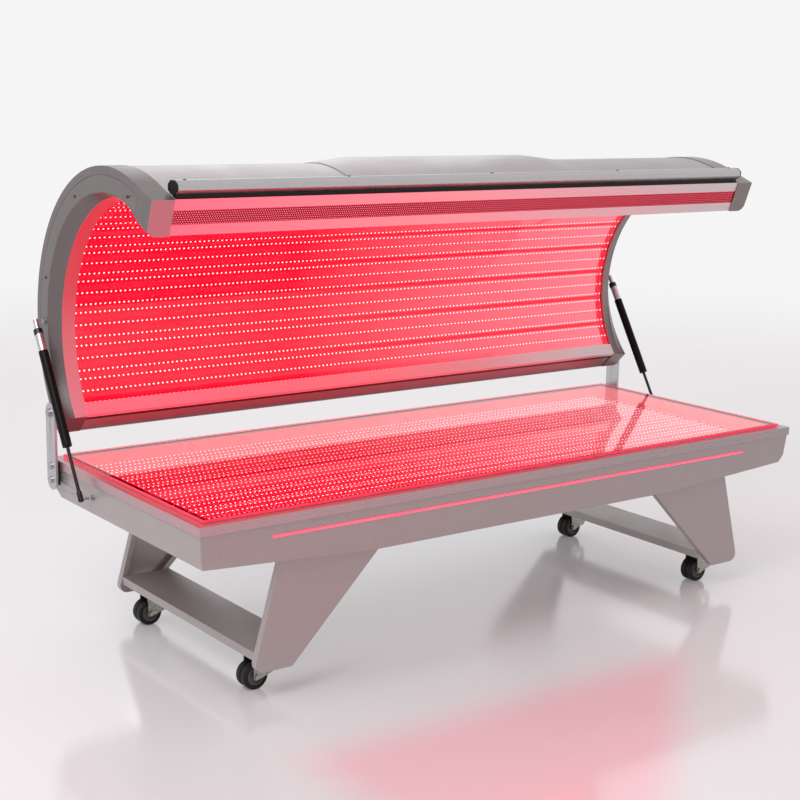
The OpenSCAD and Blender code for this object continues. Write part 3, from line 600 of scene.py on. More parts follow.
@dataclass(frozen=True)
class Glowing(Finish):
    """A surface that gives light: a lamp lens, a lit diffuser, or a painted glow that stands in
    for the lamps' light on an acrylic edge, the canopy's liner and the grille's cloth.

    To the eye: an even saturated band, a little cloudy along its length.

    Args:
        light: sRGB colour of its light.
        strength: how bright it is.
        second: sRGB colour of its dimmer patches.
        patch: width of a patch.
        lights_room: whether it is sampled as a lamp.
    """

    light: str = "FF2848"
    strength: float = 1.0
    second: str = "F01038"
    patch: float = 60 * MM
    lights_room: bool = True

    def texture(self, on: Surface) -> None:
        """Adds the light and its cloudiness.

        Args:
            on: the material being made.
        """
        cloud = on.node("ShaderNodeTexNoise",
                        {"Vector": on.place, "Scale": 1 / self.patch, "Detail": 2.0})
        on.feed({"Emission Strength": self.strength,
                 "Emission Color": on.layers(linear(self.light), (cloud, self.second))})
        if not self.lights_room:
            on.material.cycles.emission_sampling = "NONE"


@dataclass(frozen=True)
class LampBoard(Finish):
    """Circuit board with a white mask, seen past its own lamps, painted red with their light.

    To the eye: saturated red, lighter between the rows and deeper at the board's edges,
    with a halo round each lamp; all of it is painted light that the board gives off as a glow.

    Args:
        deep: sRGB colour along the rows.
        bright: sRGB colour between the rows.
        edge: sRGB colour at the board's two long edges.
        edge_cover: how much of the edge's colour shows at most.
        border: width of that edge.
        halo: sRGB colour next to a lamp.
        halo_cover: how much of the halo's colour shows at most.
        far: sRGB colour of painted light that the boards pale to at their right end.
        far_run: where along X they begin to pale, and where they have.
        end: sRGB colour of their last stretch, next to the right cap.
        end_run: where along X that colour begins, and where it is full.
        cloud: width of a lighter patch.
        width: width of the board.
        row: distance from row to row.
        pitch: distance from lamp to lamp.
        lamp: radius of a lamp, where its halo starts.
        reach: radius of a halo.
        strength: how bright the board is.
    """

    deep: str = "EE0026"
    bright: str = "FF3050"
    edge: str = "F00020"
    edge_cover: float = 0.7
    border: float = 7 * MM
    halo: str = "FF5870"
    halo_cover: float = 0.6
    far: str = "FF94A2"
    far_run: Point = (-0.3, 1.3)
    end: str = "F40430"
    end_run: Point = (1.004, 1.009)
    cloud: float = 180 * MM
    width: float = 84 * MM
    row: float = 36 * MM
    pitch: float = 15 * MM
    lamp: float = 2 * MM
    reach: float = 6 * MM
    strength: float = 1.0

    def texture(self, on: Surface) -> None:
        """Paints the lamps' light as bands across the board and halos round its lamps, from its
        own UV map.

        Args:
            on: the material being made.
        """
        board = on.node("ShaderNodeUVMap", uv_map="board")
        split = on.node("ShaderNodeSeparateXYZ", {"Vector": board})
        across = split.outputs["Y"]
        wave = on.node("ShaderNodeMath", {0: on.overlap(across, math.tau / self.row)},
                       operation="COSINE")
        band = on.node("ShaderNodeMapRange", {"Value": wave, "From Min": 1.0, "From Max": -1.0})
        cloud = on.node("ShaderNodeTexNoise",
                        {"Vector": board, "Scale": 1 / self.cloud, "Detail": 2.0})
        side = on.node("ShaderNodeMath", {0: across}, operation="ABSOLUTE")
        near = [on.node("ShaderNodeMath", {0: value, 1: pitch / 2, 2: -pitch / 2},
                        operation="WRAP")
                for value, pitch in ((split.outputs["X"], self.pitch), (across, self.row))]
        spot = on.node("ShaderNodeCombineXYZ", {"X": near[0], "Y": near[1]})
        away = on.node("ShaderNodeVectorMath", {0: spot}, operation="LENGTH")
        along = on.node("ShaderNodeSeparateXYZ", {"Vector": on.place}).outputs["X"]
        half = self.width / 2
        coats = [(on.node("ShaderNodeMapRange", {
            "Value": value, "From Min": low, "From Max": high, "To Min": start,
            "To Max": full}), code)
            for value, low, high, start, full, code in (
                (side, half - self.border, half, 0.0, self.edge_cover, self.edge),
                (along, *self.far_run, 0.0, 1.0, self.far),
                (along, *self.end_run, 0.0, 1.0, self.end),
                (away, self.lamp, self.reach, self.halo_cover, 0.0, self.halo))]
        # All of this emission is painted light from the lamps, on a board that is white.
        on.feed({"Specular IOR Level": 0.0, "Emission Strength": self.strength,
                 "Emission Color": on.layers(
                     linear(self.deep), (on.overlap(band, cloud), self.bright), *coats)})


# The silver coat's faint red cast is painted red light from the lamps.
SILVER_COAT = PowderCoat("silver_powder_coat_on_steel", "ADA4A3", 0.36, 0.35)
SHELL_COAT = PowderCoat("pale_silver_powder_coat_on_aluminium", "ACA8A9", 0.36, 0.3)
# The darker grey towards the caps' left end is painted shade.
CAP_COAT = CapLacquer("grey_metallic_lacquer_on_moulded_cap", "8C8886", 0.34, 0.4,
                      painted_light="70696A", painted_light_run=(-1.0, 1.0), flake="A8A4A2")
INLAY_COAT = PowderCoat("dark_metallic_lacquer_on_inlay", "6E6867", 0.34, 0.4,
                        flake="8C8886")
FRAME_COAT = PowderCoat("charcoal_powder_coat_on_tube", "4A4846", 0.5, 0.1, flake="5C5A58")
# Painted red light and glow from the lamps on the white reflector, strongest at the left end.
WHITE_ENAMEL = Finish("white_enamel_on_reflector", "EDE9E9", 0.3, painted_light="F0304A",
                      painted_light_run=(-1.1, 3.0), painted_light_glow=0.55)
# Painted red light from the lamps on the rim's left end.
RIM_METAL = DrawnMetal("satin_anodised_extrusion", "B6AAAB", 0.3, 0.7, second="A89C9D",
                       painted_light="C6A2A6", painted_light_run=(-1.2, 0.6))
# The black band on the rear rail is painted shade of the slot beside it.
TAIL_METAL = BandedMetal("satin_anodised_rear_rail", "B4B0B2", 0.34, 0.6, second="A6A2A4",
                         ring=(385 * MM, 408 * MM))
# Painted red light and glow from the lamps on the pale fascia and trim, strongest at the left.
STRIP_METAL = DrawnMetal("pale_anodised_fascia", "F0EAEB", 0.34, 0.4, second="E2DADB",
                         painted_light="FF5C70", painted_light_run=(-1.2, 0.9), painted_light_glow=0.75)
HANDLE_METAL = DrawnMetal("graphite_anodised_rail", "C4C0C0", 0.25, 1.0, second="B0ACAC")
DARK_STEEL = DrawnMetal("blacked_screw_steel", "4A4648", 0.3, 1.0, grain=Grain.ROUND,
                        second="3A3638", line=0.8 * MM)
PLATE_METAL = DrawnMetal("brushed_anodised_plate", "C9C9CC", 0.3, 1.0, grain=Grain.ALONG_Z)
BRIGHT_STEEL = DrawnMetal("turned_bright_steel", "BEBEC2", 0.2, 1.0, grain=Grain.ROUND,
                          second="A4A4AA", line=0.8 * MM)
ZINC = ZincPlate("passivated_zinc_on_pressed_steel", "B7B5AE", 0.34, 1.0)
SUPPLY_ZINC = ZincPlate("spangled_galvanised_case", "A9AAA8", 0.4, 1.0, crystal=12 * MM)
TUBE_METAL = BandedMetal("bright_strut_tube", "C9C9CC", 0.22, 1.0, ball=(0.425016, 0.910626),
                        ring=(25 * MM, 42 * MM), grain=Grain.ROUND, line=0.8 * MM)
ROD_METAL = BandedMetal("blacked_strut_rod", "38363A", 0.24, 1.0, ball=(0.147984, 0.447),
                       ring=(16 * MM, 25 * MM), grain=Grain.ROUND, second="2C2A2E",
                       line=0.8 * MM)
BLACK_PLASTIC = Moulded("black_glass_filled_nylon", "0E0E10", 0.42, dust="1C1A1A",
                        shine=0.25)
SLEEVE_PLASTIC = Moulded("black_textured_sleeve", "070708", 0.34, depth=0.14 * MM,
                         dust="141012", shine=0.14)
GREY_PLASTIC = Moulded("grey_moulded_nylon", "5E5C5A", 0.45, dust="4A4846")
SEAL_RUBBER = Moulded("black_foam_rubber", "121010", 0.8)
TYRE_RUBBER = Moulded("black_polyurethane_tyre", "0B0B0C", 0.5, dust="1E1C1B", shine=0.3)
CLEAR_SHEET = CastAcrylic("clear_cast_acrylic", "FFF6F7", 0.015, gloss=0.3, index=1.16)
CURVED_SHEET = CastAcrylic("coated_curved_acrylic", "FFF0F2", 0.02, gloss=0.1,
                           index=1.3, painted_glow_level=0.01)
# Painted glow: the lamps' red light seen at the clear sheets' edges.
LIT_EDGE = Glowing("lit_acrylic_edge", "E04058", 0.2, light="FF2848", strength=0.95)
LENS = Glowing("white_hot_lamp_lens", "FFFFFF", 0.2, light="FFFFFF", second="FFF0F2",
               strength=1.5, patch=4 * MM, lights_room=False)
# The dark red colour stands in for the white board, so that only its painted red light shows.
BOARD = LampBoard("red_lit_lamp_board", "5C0414", 0.5)
# Painted light: the white liner between the boards is given a dark red colour and a red glow.
LIT_LINER = Glowing("red_lit_white_liner", "50000A", 0.9, light="FA1C3A", second="F01030",
                    strength=1.0, patch=200 * MM)
STRIP_GLOW = Glowing("lit_opal_strip", "E85068", 0.3, light="FF4A68", second="FF6A84",
                     strength=1.05)
GRILLE_RED = DrawnMetal("red_anodised_perforated_sheet", "C81838", 0.32, 0.7,
                        second="B01430")
# Painted glow: the pink light seen through the grille's holes, on a cloth that is no lamp.
GRILLE_CLOTH = Glowing("lit_dust_cloth", "F08898", 0.7, light="F58A9A", second="E87088",
                       strength=0.75, patch=10 * MM, lights_room=False)


def link_object(name: str, mesh: bpy.types.ID) -> bpy.types.Object:
    """Puts a mesh, a lamp or a camera into the scene.

    Args:
        name: the object's name.
        mesh: its mesh, already in place, or the lamp or camera.

    Returns:
        The new object, at the origin.
    """
    piece = bpy.data.objects.new(name, mesh)
    bpy.context.scene.collection.objects.link(piece)
    return piece


def keep_form(name: str, form: bmesh.types.BMesh, *finishes: Finish) -> bpy.types.Object:
    """Turns a shape into a piece, and frees it.

    Args:
        name: the piece's name.
        form: its shape, already in place.
        *finishes: the finishes that its faces' material numbers stand for.

    Returns:
        The new object, at the origin.
    """
    mesh = bpy.data.meshes.new(name)
    form.to_mesh(mesh)
    form.free()
    for finish in finishes:
        mesh.materials.append(finish.material())
    return link_object(name, mesh)


def sized_box(form: bmesh.types.BMesh, length: float, width: float,
              height: float) -> list[bmesh.types.BMVert]:
    """Adds a box about the origin.

    Args:
        form: the shape that gets it.
        length: its size along X.
        width: its size along Y.
        height: its size along Z.

    Returns:
        Its corners.
    """
    corners = bmesh.ops.create_cube(form, size=1.0)["verts"]
    for corner in corners:
        corner.co = Vector(a * b for a, b in zip(corner.co, (length, width, height)))
    return corners


def set_piece(piece: bpy.types.Object, body: str, slot: str, *nodes: str) -> None:
    """Hangs a finished piece on its body, hides the CAD nodes that it replaces, and logs it.

    Args:
        piece: the finished piece.
        body: the CAD body that it moves with.
        slot: the record's material slot that it is finished from; not used.
        *nodes: CAD nodes that it replaces.
    """
    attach(piece, body)
    if nodes:
        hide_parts(*nodes)
    LOG.info("%s: %d faces, on %s", piece.name, len(piece.data.polygons), body)


def round_edges(piece: bpy.types.Object, width: float, segments: int = 2,
                angle: float = 35.0) -> None:
    """Breaks a piece's edges with a small round that stays live.

    Args:
        piece: the piece, or a CAD node.
        width: width of the round.
        segments: faces across the round.
        angle: only edges sharper than this, in degrees, are rounded.
    """
    bevel = piece.modifiers.new("edge_round", "BEVEL")
    bevel.width = width
    bevel.segments = segments
    bevel.limit_method = "ANGLE"
    bevel.angle_limit = math.radians(angle)
    bevel.miter_outer = "MITER_ARC"
    shading = piece.modifiers.new("edge_shading", "WEIGHTED_NORMAL")
    shading.keep_sharp = False


def dress(frame: dict[str, Any], finish: Finish, width: float, *nodes: str) -> None:
    """Gives CAD nodes their finish, and rounds their edges.

    Args:
        finish: the finish that they all have.
        width: width of their edges' round, or zero for none.
        *nodes: the nodes' names.
    """
    for name in nodes:
        node = frame["nodes"][name]
        for place in node.material_slots:
            place.material = finish.material()
        if width:
            weld = node.modifiers.new("join_triangles", "WELD")
            weld.merge_threshold = MERGE
            round_edges(node, width)
        LOG.info("%s: %s", name, finish.name)


def swept_sheet(name: str, inner: Sequence[Point], outer: Sequence[Point], half: float,
                face: Finish, edge: Finish) -> bpy.types.Object:
    """Makes a curved sheet that runs straight along X.

    Args:
        name: the piece's name.
        inner: points (y, z) along its inner face.
        outer: as many points along its outer face.
        half: half its length.
        face: finish of its two faces.
        edge: finish of its edges and ends.

    Returns:
        The closed sheet.
    """
    form = bmesh.new()
    rings = []
    for x in (-half, half):
        rings.append([[form.verts.new((x, y, z)) for y, z in side] for side in (inner, outer)])
    count = len(inner)
    for i in range(count - 1):
        for side in (0, 1):
            form.faces.new((rings[0][side][i], rings[1][side][i],
                            rings[1][side][i + 1], rings[0][side][i + 1]))
        for end in (0, 1):
            form.faces.new((rings[end][0][i], rings[end][0][i + 1],
                            rings[end][1][i + 1], rings[end][1][i])).material_index = 1
    for i in (0, count - 1):
        form.faces.new((rings[0][0][i], rings[1][0][i],
                        rings[1][1][i], rings[0][1][i])).material_index = 1
    bmesh.ops.recalc_face_normals(form, faces=form.faces)
    sheet = keep_form(name, form, face, edge)
    sheet.data.shade_smooth()
    sheet.data.set_sharp_from_angle(angle=math.radians(SHARP_ANGLE))
    return sheet


class NodeTree:
    """A Geometry Nodes tree that makes one plain mesh."""

    def __init__(self, name: str, sizes: dict[str, float], finish: Finish) -> None:
        """Starts a tree with named inputs.

        Args:
            name: the tree's name.
            sizes: each input's name and value.
            finish: the finish that the tree sets.
        """
        self.tree = bpy.data.node_groups.new(name, "GeometryNodeTree")
        self.finish = finish
        self.sizes = sizes
        face = self.tree.interface
        face.new_socket("Guide", in_out="INPUT", socket_type="NodeSocketGeometry")
        for size in sizes:
            face.new_socket(size, in_out="INPUT", socket_type="NodeSocketFloat")
        face.new_socket("Finish", in_out="INPUT", socket_type="NodeSocketMaterial")
        face.new_socket("Piece", in_out="OUTPUT", socket_type="NodeSocketGeometry")
        self.given = self.node("NodeGroupInput").outputs

    def node(self, kind: str, inputs: dict[Any, Any] | None = None, **settings: Any) -> Node:
        """Adds a node to the tree. See add_node."""
        return add_node(self.tree, kind, inputs, **settings)

    def finish_tree(self, geometry: Any) -> None:
        """Ends the tree in real geometry with its material.

        Args:
            geometry: what holds the geometry.
        """
        real = self.node("GeometryNodeRealizeInstances", {0: geometry})
        self.node("NodeGroupOutput", {0: self.node("GeometryNodeSetMaterial", {
            "Geometry": real, "Material": self.given["Finish"]})})

    def make(self, name: str, guide: bpy.types.Mesh) -> bpy.types.Object:
        """Runs the tree on a guide and keeps its result as a plain mesh.

        Args:
            name: the piece's name.
            guide: points or faces that the tree works on.

        Returns:
            The piece, with no modifier.
        """
        carrier = link_object(name + "_guide", guide)
        modifier = carrier.modifiers.new("maker", "NODES")
        modifier.node_group = self.tree
        for item in self.tree.interface.items_tree:
            if item.in_out == "INPUT" and item.name in self.sizes:
                modifier[item.identifier] = self.sizes[item.name]
            elif item.in_out == "INPUT" and item.name == "Finish":
                modifier[item.identifier] = self.finish.material()
        graph = bpy.context.evaluated_depsgraph_get()
        graph.update()
        mesh = bpy.data.meshes.new_from_object(carrier.evaluated_get(graph))
        mesh.name = name
        bpy.data.objects.remove(carrier)
        return link_object(name, mesh)


@dataclass
class CanopyCurve:
    """The canopy's profile across the bed, from the part's own values.

    Args:
        centre: middle of the curve, as (y, z).
        outer: outer radius.
        panel: radius of the lit panel's face.
        panel_middle: middle of the panel's curve, from the middle of the outer one.
        panel_nose: angle on the panel's curve where it turns straight to the lip.
        tail: angle of the lower rear edge, in degrees.
        nose: angle where the curve turns into the straight nose.
        nose_length: length of the nose's top.
        lip_height: height of the lip's face.
        lip_lean: lean of that face.
    """

    centre: Vector = field(default_factory=lambda: Vector((17.0162, 910.6255)) * MM)
    outer: float = 460 * MM
    panel: float = 400 * MM
    panel_middle: Vector = field(default_factory=lambda: Vector((-52, -26)) * MM)
    panel_nose: float = 103.0
    tail: float = -43.5
    nose: float = 112.0
    nose_length: float = 106 * MM
    lip_height: float = 101 * MM
    lip_lean: float = 20.0

    @staticmethod
    def polar(radius: float, angle: float) -> Vector:
        """A point at a radius and an angle in degrees, from the curve's middle."""
        return Vector((math.cos(math.radians(angle)), math.sin(math.radians(angle)))) * radius

    @property
    def lip_down(self) -> Vector:
        """Direction down the lip's face."""
        return self.polar(1.0, self.lip_lean - 90)

    @property
    def lip_back(self) -> Vector:
        """Direction from the lip's face into the canopy."""
        return self.polar(1.0, self.lip_lean)

    @property
    def lip_top(self) -> Vector:
        """The lip's upper edge, from the curve's middle."""
        along = self.polar(1.0, self.nose + 90)
        return self.polar(self.outer, self.nose) + along * self.nose_length

    @property
    def lip_foot(self) -> Vector:
        """The lip's lower edge, from the curve's middle."""
        return self.lip_top + self.lip_down * self.lip_height

    @property
    def nose_run(self) -> Vector:
        """Direction of the nose's straight inner side, towards the lip."""
        return (self.lip_foot - self.panel_point(self.panel, self.panel_nose)).normalized()

    def panel_point(self, radius: float, angle: float) -> Vector:
        """A point about the panel's middle, from the curve's middle."""
        return self.panel_middle + self.polar(radius, angle)

    def panel_angle(self, height: float, radius: float) -> float:
        """Finds where a curve about the panel's middle passes a height over the tail's edge.

        Args:
            height: distance above the canopy's lower rear edge.
            radius: radius of the curve.

        Returns:
            The angle about the panel's middle, in degrees.
        """
        rise = height - self.panel_middle.dot(self.polar(1.0, self.tail + 90))
        return self.tail + math.degrees(math.asin(rise / radius))

    def under_nose(self, deep: float, behind: float) -> Vector:
        """Finds a point on the nose's straight inner side.

        Args:
            deep: depth under the panel's face.
            behind: distance behind the lip's face.

        Returns:
            The point, from the curve's middle.
        """
        along = self.nose_run
        start = self.nose_start(deep)
        target = self.lip_foot + self.lip_back * behind
        down = self.lip_down
        reach = ((target - start).x * down.y - (target - start).y * down.x)
        reach /= along.x * down.y - along.y * down.x
        return start + along * reach

    def nose_start(self, deep: float) -> Vector:
        """Finds where the nose's straight inner side starts.

        Args:
            deep: depth under the panel's face.

        Returns:
            The point, from the curve's middle.
        """
        along = self.nose_run
        return (self.panel_point(self.panel, self.panel_nose)
                + Vector((along.y, -along.x)) * deep)

    def inner_line(self, deep: float, height: float, behind: float,
                   steps: int = 96) -> list[Point]:
        """Draws a line under the panel's face, from the rear edge to the lip.

        Args:
            deep: its depth under the face.
            height: how far above the tail's edge it starts.
            behind: how far behind the lip's face it ends.
            steps: points along the curve.

        Returns:
            Points (y, z) in the CAD's frame.
        """
        radius = self.panel + deep
        away = self.nose_start(deep) - self.panel_middle
        half = away.dot(self.nose_run)
        root = math.sqrt(half ** 2 - away.length_squared + radius ** 2)
        corner = away + self.nose_run * min(root - half, -root - half, key=abs)
        first = self.panel_angle(height, radius)
        last = math.degrees(math.atan2(corner.y, corner.x))
        points = [self.panel_point(radius, first + (last - first) * i / steps)
                  for i in range(steps + 1)]
        points.append(self.under_nose(deep, behind))
        return [tuple(self.centre + p) for p in points]


@dataclass
class LampBoards:
    """Boards with three rows of lamps each, under a clear sheet.

    Args:
        name: the boards' name, and the start of the lamps' name.
        length: length of a board.
        width: width of a board.
        thickness: thickness of a board.
        row: distance from row to row.
        pitch: distance from lamp to lamp.
        margin: bare length before the first lamp and after the last, at least.
        lens: diameter of a lamp's lens.
        lens_top: width of its flat top, as a share of that diameter.
        lens_height: height of a lens.
        lens_sides: sides of a lens.
        map_step: pitches from board to board on the UV map, more than a board has.
    """

    name: str
    length: float
    width: float = 84 * MM
    thickness: float = 2 * MM
    row: float = 36 * MM
    pitch: float = 15 * MM
    margin: float = 3 * MM
    lens: float = 5 * MM
    lens_top: float = 0.68
    lens_height: float = 1 * MM
    lens_sides: int = 8
    map_step: int = 200

    @property
    def count(self) -> int:
        """Lamps in a row."""
        return math.floor((self.length - 2 * self.margin) / self.pitch) + 1

    def boards(self, places: Sequence[Matrix]) -> bpy.types.Object:
        """Makes the boards, with a UV map in metres along and across each.

        Args:
            places: where each board lies, face up along its own +Z.

        Returns:
            The boards as one piece.
        """
        form = bmesh.new()
        mapping = form.loops.layers.uv.new("board")
        for number, place in enumerate(places):
            # Each board's lamps fall on whole pitches of the map, far from the next board's
            shift = (number * self.map_step + self.count % 2 / 2 + 0.5) * self.pitch
            box = sized_box(form, self.length, self.width, self.thickness)
            bmesh.ops.translate(form, verts=box, vec=(0, 0, self.thickness / 2))
            for loop in (a for f in {f for v in box for f in v.link_faces} for a in f.loops):
                loop[mapping].uv = (loop.vert.co.x + shift, loop.vert.co.y)
            bmesh.ops.transform(form, matrix=place, verts=box)
        bmesh.ops.recalc_face_normals(form, faces=form.faces)
        return keep_form(self.name, form, BOARD)

    def lamps(self, places: Sequence[Matrix]) -> bpy.types.Object:
        """Sets a line of lenses on each row of each board.

        Args:
            places: where each board lies.

        Returns:
            The lenses as one piece.
        """
        guide = bpy.data.meshes.new(self.name + "_rows")
        points, turns = [], []
        for place in places:
            for row in (-1, 0, 1):
                points.append(place @ Vector((0, row * self.row, self.thickness)))
                turns.append(place.to_euler("XYZ").x)
        guide.from_pydata(points, [], [])
        guide.attributes.new("turn", "FLOAT", "POINT").data.foreach_set("value", turns)
        maker = NodeTree(self.name + "_lamp_rows", {
            "Count": float(self.count), "Pitch": self.pitch,
            "First": -(self.count - 1) * self.pitch / 2, "Lens Radius": self.lens / 2,
            "Top Radius": self.lens * self.lens_top / 2, "Lens Height": self.lens_height}, LENS)
        given = maker.given
        line = maker.node("GeometryNodeMeshLine", {
            "Count": given["Count"],
            "Start Location": maker.node("ShaderNodeCombineXYZ", {"X": given["First"]}),
            "Offset": maker.node("ShaderNodeCombineXYZ", {"X": given["Pitch"]})})
        lens = maker.node("GeometryNodeMeshCone", {
            "Vertices": self.lens_sides, "Radius Bottom": given["Lens Radius"],
            "Radius Top": given["Top Radius"], "Depth": given["Lens Height"]})
        row = maker.node("GeometryNodeInstanceOnPoints", {"Points": line, "Instance": lens})
        turn = maker.node("GeometryNodeInputNamedAttribute", {"Name": "turn"},
                          data_type="FLOAT")
        euler = maker.node("ShaderNodeCombineXYZ", {"X": turn.outputs["Attribute"]})
        maker.finish_tree(maker.node("GeometryNodeInstanceOnPoints", {
            "Points": given["Guide"], "Instance": row,
            "Rotation": maker.node("FunctionNodeEulerToRotation", {0: euler})}))
        return maker.make(self.name.replace("boards", "lamps"), guide)


@dataclass
class Canopy:
    """The C-shaped canopy: shell, caps, boards, clear sheet and rails.

    Args:
        curve: its profile.
        span: half its length between the caps.
        sheet_deep: depth of the clear sheet's two faces under the panel's face.
        sheet_start: height of the clear sheet's lower edge above the tail's edge.
        sheet_end: distance of its upper edge behind the lip's face.
        trim: height of the trim under the boards.
        board_deep: depth of the liner that carries the boards.
        board_step: angle from board to board.
        board_count: boards round the curve.
        board_end: bare length at each end of a board.
        board_gap: space between a board's long edges and the liner.
        board_start: height of the first board's edge under the trim's upper edge.
        nose_gap: space between the nose's board and the liner.
        nose_behind: distance of that board's edge behind the lip's face.
        flange: how far the caps' lit flange reaches past the panel's face.
    """

    curve: CanopyCurve = field(default_factory=CanopyCurve)
    span: float = 1034.6 * MM
    sheet_deep: tuple[float, float] = (2 * MM, 6 * MM)
    sheet_start: float = 34.8 * MM
    sheet_end: float = 26 * MM
    trim: float = 38 * MM
    board_deep: float = 14 * MM
    board_step: float = 13.4
    board_count: int = 10
    board_end: float = 1 * MM
    board_gap: float = 0.1 * MM
    board_start: float = 1 * MM
    nose_gap: float = 0.3 * MM
    nose_behind: float = 29 * MM
    flange: float = 8.5 * MM

    def dress(self, frame: dict[str, Any]) -> None:
        """Finishes the canopy's CAD nodes.
        """
        middle = self.curve.centre + self.curve.panel_middle
        lip = self.curve.centre + self.curve.lip_foot
        coat = replace(CAP_COAT, panel=tuple(middle), reach=self.curve.panel + self.flange,
                       lip=tuple(lip), back=tuple(self.curve.lip_back))
        dress(frame, coat, 1.2 * MM, "cap_left", "cap_right")
        dress(frame, INLAY_COAT, 0.5 * MM, "cap_inlays")
        dress(frame, SHELL_COAT, 0.5 * MM, "canopy_skin", "raised_cover")
        dress(frame, LIT_LINER, 0.0, "canopy_liner")
        dress(frame, STRIP_METAL, 0.4 * MM, "fascia_rails", "lower_trim")
        dress(frame, replace(TAIL_METAL, ball=tuple(self.curve.centre)), 0.6 * MM,
              "rear_rail")
        dress(frame, HANDLE_METAL, 1.2 * MM, "handle_rail")
        dress(frame, BLACK_PLASTIC, 0.6 * MM, "handle_plugs")
        dress(frame, BLACK_PLASTIC, 0.0, "handle_fixings", "canopy_fans", "pivot_bushes")
        dress(frame, DARK_STEEL, 0.0, "cap_screws")
        dress(frame, BRIGHT_STEEL, 0.0, "upper_ball_studs")
        dress(frame, SUPPLY_ZINC, 0.6 * MM, "canopy_drivers")
        dress(frame, FRAME_COAT, 0.0, "canopy_ribs")

    def places(self) -> list[Matrix]:
        """Finds where each board lies.

        Returns:
            A matrix for each board, face up along its own +Z.
        """
        curve = self.curve
        middle = curve.centre + curve.panel_middle
        panel = Matrix.Translation((0, middle.x, middle.y))
        deep = curve.panel + self.board_deep
        half = LampBoards.width / 2
        seat = math.sqrt(deep ** 2 - half ** 2) - self.board_gap
        first = (curve.panel_angle(self.trim - self.board_start, deep)
                 + math.degrees(math.atan(half / seat)))
        found = []
        for i in range(self.board_count):
            angle = math.radians(first + i * self.board_step)
            found.append(panel @ Matrix.Rotation(angle, 4, "X")
                         @ Matrix.Translation((0, seat, 0))
                         @ Matrix.Rotation(math.pi / 2, 4, "X"))
        spot = curve.centre + curve.under_nose(self.board_deep - self.nose_gap,
                                               self.nose_behind + half)
        found.append(Matrix.Translation((0, spot.x, spot.y))
                     @ Matrix.Rotation(math.atan2(curve.nose_run.y, curve.nose_run.x), 4, "X"))
        return found

    def build(self) -> None:
        """Makes the clear sheet, the boards and the lamps."""
        lines = [self.curve.inner_line(d, self.sheet_start, self.sheet_end)
                 for d in self.sheet_deep]
        sheet = swept_sheet("canopy_clear_curve", *lines, half=self.span,
                            face=CURVED_SHEET, edge=LIT_EDGE)
        set_piece(sheet, "canopy", "clear_acrylic", "canopy_clear_sheet")
        boards = LampBoards("canopy_boards", 2 * (self.span - self.board_end))
        places = self.places()
        set_piece(boards.boards(places), "canopy", "red_lamps", "canopy_light_boards")
        set_piece(boards.lamps(places), "canopy", "red_lamps", "canopy_light_boards")


